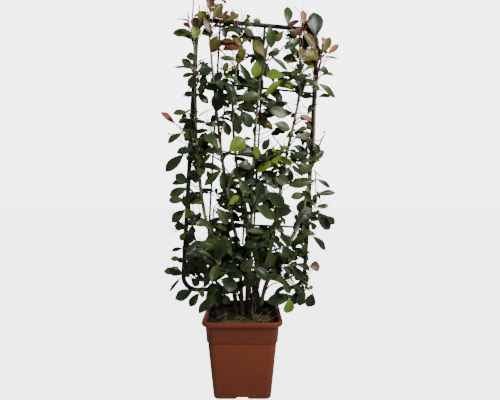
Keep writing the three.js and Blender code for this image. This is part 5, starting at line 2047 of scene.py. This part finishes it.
def leaf_faces():
    """Faces, corner places and side numbers of one blade."""
    rows = len(LEAF_STATIONS) - 2
    columns = len(LEAF_ACROSS)

    def upper(row, column):
        if row == 0:
            return 0
        if row == rows + 1:
            return 1
        return 2 + (row - 1) * columns + column

    def under(row, column):
        if row in (0, rows + 1) or column in (0, columns - 1):
            return upper(row, column)
        return 2 + rows * columns + (row - 1) * (columns - 2) + column - 1

    faces = []
    corners = []
    kinds = []
    for side, number in enumerate((upper, under)):
        for row in range(rows + 1):
            for column in range(columns - 1):
                square = [(row, column), (row, column + 1), (row + 1, column + 1), (row + 1, column)]
                if side:
                    square.reverse()
                face = []
                places = []
                for r, c in square:
                    index = number(r, c)
                    if index not in face:
                        face.append(index)
                        places.append(((LEAF_ACROSS[c] + 1) / 2, LEAF_STATIONS[r]))
                faces.append(tuple(face))
                corners.extend(places)
                kinds.append(side)
    return faces, corners, kinds


def leaf_vertices(leaf):
    """Foot, tip, upper side and under side of a blade, in the order that its faces count them."""
    points, normals = leaf.surface(LEAF_STATIONS, LEAF_WIDTHS, LEAF_ACROSS)
    inner = points[1:-1, 1:-1] - normals[1:-1, None] * LEAF_THICKNESS
    return np.concatenate((
        points[:1, 0], points[-1:, 0], points[1:-1].reshape(-1, 3), inner.reshape(-1, 3),
    ))


SKIN_STEPS = 10
TWIG_SIDES = 7
PETIOLE_SIDES = 5
LEAF_SHARP_ANGLE = 70 * DEGREE


class FoliageSettings(bpy.types.PropertyGroup):
    leaf_length_min: length_setting("Shortest Leaf", "Length of the shortest grown leaf", 62 * MM)
    leaf_length_max: length_setting("Longest Leaf", "Length of the longest leaf", 100 * MM)
    leaf_aspect: FloatProperty(
        name="Leaf Width", description="Width of a leaf as a share of its length", default=0.44,
    )
    leaf_spacing: length_setting("Leaf Spacing", "Twig length for each leaf", 18 * MM)
    twig_colour: colour_setting("Twig", "Colour of the twigs", (0.1, 0.075, 0.04))
    young_colour: colour_setting(
        "Young Shoot", "Colour of young shoots and leaf stalks", (0.17, 0.055, 0.04),
    )


class MakeFoliage(bpy.types.Operator):
    """Grow the twigs and leaves of the crown"""

    bl_idname = "photinia.make_foliage"
    bl_label = "Foliage"

    def execute(self, context):
        settings = context.scene.photinia_foliage
        crown = grow_crown(settings)
        masses = sorted(name for name in frame["nodes"] if name.startswith("foliage_"))
        twigs = Shape()
        young = Shape()
        for twig in crown.twigs:
            line = spline(twig.points, SKIN_STEPS)
            radii = np.linspace(*twig.skin, len(line))
            bunch = young if twig.young else twigs
            bunch.add_rings(rings_along(line, radii, TWIG_SIDES))
        petiole = (PETIOLE_RADIUS * PETIOLE_FLARE, PETIOLE_RADIUS, PETIOLE_RADIUS)
        for leaf in crown.leaves:
            if not np.allclose(leaf.root, leaf.base):
                line = np.array((leaf.root, mix(leaf.root, leaf.base, 0.5), leaf.base))
                bunch = young if leaf.tone in YOUNG_TONES else twigs
                bunch.add_rings(rings_along(line, petiole, PETIOLE_SIDES))
        self.finish_twigs(twigs, young, settings, masses)
        faces, corners, kinds = leaf_faces()
        for tone, (upper_colour, under_colour, margin) in TONES.items():
            shape = Shape()
            for leaf in crown.leaves:
                if leaf.tone == tone:
                    shape.add(leaf_vertices(leaf), faces, kinds, corners)
            upper = leaf_material(
                f"{tone} leaf upper side", upper_colour, margin, roughness=0.36, vein_strength=0.35,
            )
            under = leaf_material(
                f"{tone} leaf underside", under_colour, margin, roughness=0.62, vein_strength=0.5,
            )
            hand_over(shape.piece(f"{tone}_leaves", [upper, under], LEAF_SHARP_ANGLE), [])
        return {"FINISHED"}

    @staticmethod
    def finish_twigs(twigs, young, settings, masses):
        """The twigs stand for all masses of foliage, and the young shoots are a piece of their own."""
        bark = mottled_material(
            "twig bark", shades(settings.twig_colour, 1.6, 0.7),
            roughness=0.7, patch_scale=80.0, grain_scale=600.0, relief=0.5,
        )
        hand_over(twigs.piece("twigs", [bark]), masses)
        fresh = mottled_material(
            "young bark", shades(settings.young_colour, 1.5, 0.7),
            roughness=0.5, patch_scale=80.0, grain_scale=600.0, relief=0.3,
        )
        hand_over(young.piece("young_shoots", [fresh]), [])


# The stage

FLOOR_HALF = 20.0
FLOOR_WHITE = 0.86
WHITE = (1.0, 1.0, 1.0, 1.0)
SENSOR_WIDTH = 36
CAMERA_SHIFT = -0.012

# Round lights as name, place, size and power against the main light's, all turned to one point
LIGHTS = (
    ("key_light", (1.9, -2.0, 2.6), 0.6, 1.0),
    ("fill_light", (-2.4, -1.8, 1.8), 1.6, 0.05),
    ("back_light", (-1.2, 2.4, 2.6), 1.4, 0.3),
)
LIGHT_TARGET = Vector((0, 0, 0.8))


class StageSettings(bpy.types.PropertyGroup):
    floor_colour: colour_setting("Floor", "Colour of the plain floor", (0.48, 0.48, 0.48))
    sky_strength: FloatProperty(
        name="Surrounding Light", description="Strength of the even light", default=0.2,
    )
    white_strength: FloatProperty(
        name="White", description="How bright the camera sees the surroundings", default=5.0,
    )
    key_power: FloatProperty(name="Key Light", description="Power of the large main light", default=132.0)
    lens: FloatProperty(name="Lens", description="Focal length in millimetres", default=26.61)


class MakeStage(bpy.types.Operator):
    """Set up the floor, the soft lights and the camera"""

    bl_idname = "photinia.make_stage"
    bl_label = "Stage"

    def execute(self, context):
        settings = context.scene.photinia_stage
        corners = [(x * FLOOR_HALF, y * FLOOR_HALF, 0) for x, y in ((-1, -1), (1, -1), (1, 1), (-1, 1))]
        shape = Shape()
        shape.add(np.array(corners), [(0, 1, 2, 3)])
        paper = mottled_material(
            "pale floor", shades(settings.floor_colour, 0.98, 1.0),
            roughness=0.9, patch_scale=2.0, grain_scale=90.0, relief=0.02,
        )
        shader = paper.node_tree.nodes["Principled BSDF"]
        self.brighten_for_camera(paper.node_tree, shader, settings, FLOOR_WHITE)
        shape.piece("floor", [paper])
        world = bpy.data.worlds.new("studio")
        world.use_nodes = True
        background = world.node_tree.nodes["Background"]
        background.inputs["Color"].default_value = WHITE
        background.inputs["Strength"].default_value = settings.sky_strength
        self.brighten_for_camera(world.node_tree, background, settings, 1.0)
        context.scene.world = world
        for name, place, size, share in LIGHTS:
            self.add_light(name, place, size, settings.key_power * share)
        camera = bpy.data.cameras.new("camera")
        camera.lens = settings.lens
        camera.sensor_width = SENSOR_WIDTH
        camera.shift_y = CAMERA_SHIFT
        made = link("camera", camera)
        made.location = CAMERA_PLACE
        made.rotation_euler = Euler((90 * DEGREE, 0, 0))
        context.scene.camera = made
        return {"FINISHED"}

    @staticmethod
    def brighten_for_camera(tree, shader, settings, share):
        """Lets the camera see the surroundings white, with no more light on the plant."""
        seen = put(tree, "ShaderNodeLightPath").outputs["Is Camera Ray"]
        kind = "ShaderNodeEmission" if shader.type == "BSDF_PRINCIPLED" else "ShaderNodeBackground"
        white = put(tree, kind, Color=WHITE, Strength=settings.white_strength)
        both = put(tree, "ShaderNodeMixShader", Fac=maths(tree, "MULTIPLY", seen, share))
        tree.links.new(shader.outputs[0], both.inputs[1])
        tree.links.new(white.outputs[0], both.inputs[2])
        leave = next(node for node in tree.nodes if node.type.startswith("OUTPUT"))
        tree.links.new(both.outputs[0], leave.inputs["Surface"])

    @staticmethod
    def add_light(name, place, size, power):
        """A soft round light."""
        light = bpy.data.lights.new(name, "AREA")
        light.shape = "DISK"
        light.size = size
        light.energy = power
        made = link(name, light)
        made.location = place
        made.rotation_euler = (LIGHT_TARGET - Vector(place)).to_track_quat("-Z", "Y").to_euler()


class PhotiniaPanel(bpy.types.Panel):
    """The plant's parts and their settings in the 3D view's sidebar"""

    bl_idname = "VIEW3D_PT_photinia"
    bl_label = "Espaliered Photinia"
    bl_space_type = "VIEW_3D"
    bl_region_type = "UI"
    bl_category = "Photinia"

    def draw(self, context):
        for operator, group_name in STEPS:
            box = self.layout.box()
            box.operator(operator.bl_idname)
            group = getattr(context.scene, group_name)
            for name in group.__annotations__:
                box.prop(group, name)


GROUPS = {
    "photinia_pot": PotSettings,
    "photinia_soil": SoilSettings,
    "photinia_trellis": TrellisSettings,
    "photinia_stems": StemSettings,
    "photinia_foliage": FoliageSettings,
    "photinia_stage": StageSettings,
}
STEPS = (
    (MakeStage, "photinia_stage"),
    (MakePot, "photinia_pot"),
    (MakeSoil, "photinia_soil"),
    (MakeTrellis, "photinia_trellis"),
    (MakeStems, "photinia_stems"),
    (MakeFoliage, "photinia_foliage"),
)
CLASSES = (*GROUPS.values(), *(operator for operator, _ in STEPS), PhotiniaPanel)


def register():
    for made in CLASSES:
        bpy.utils.register_class(made)
    for name, group in GROUPS.items():
        setattr(bpy.types.Scene, name, PointerProperty(type=group))


def unregister():
    for name in GROUPS:
        delattr(bpy.types.Scene, name)
    for made in reversed(CLASSES):
        bpy.utils.unregister_class(made)


def main():
    register()
    bpy.ops.photinia.make_stage()
    bpy.ops.photinia.make_pot()
    bpy.ops.photinia.make_soil()
    bpy.ops.photinia.make_trellis()
    bpy.ops.photinia.make_stems()
    bpy.ops.photinia.make_foliage()
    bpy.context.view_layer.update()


if __name__ == "__main__":
    main()
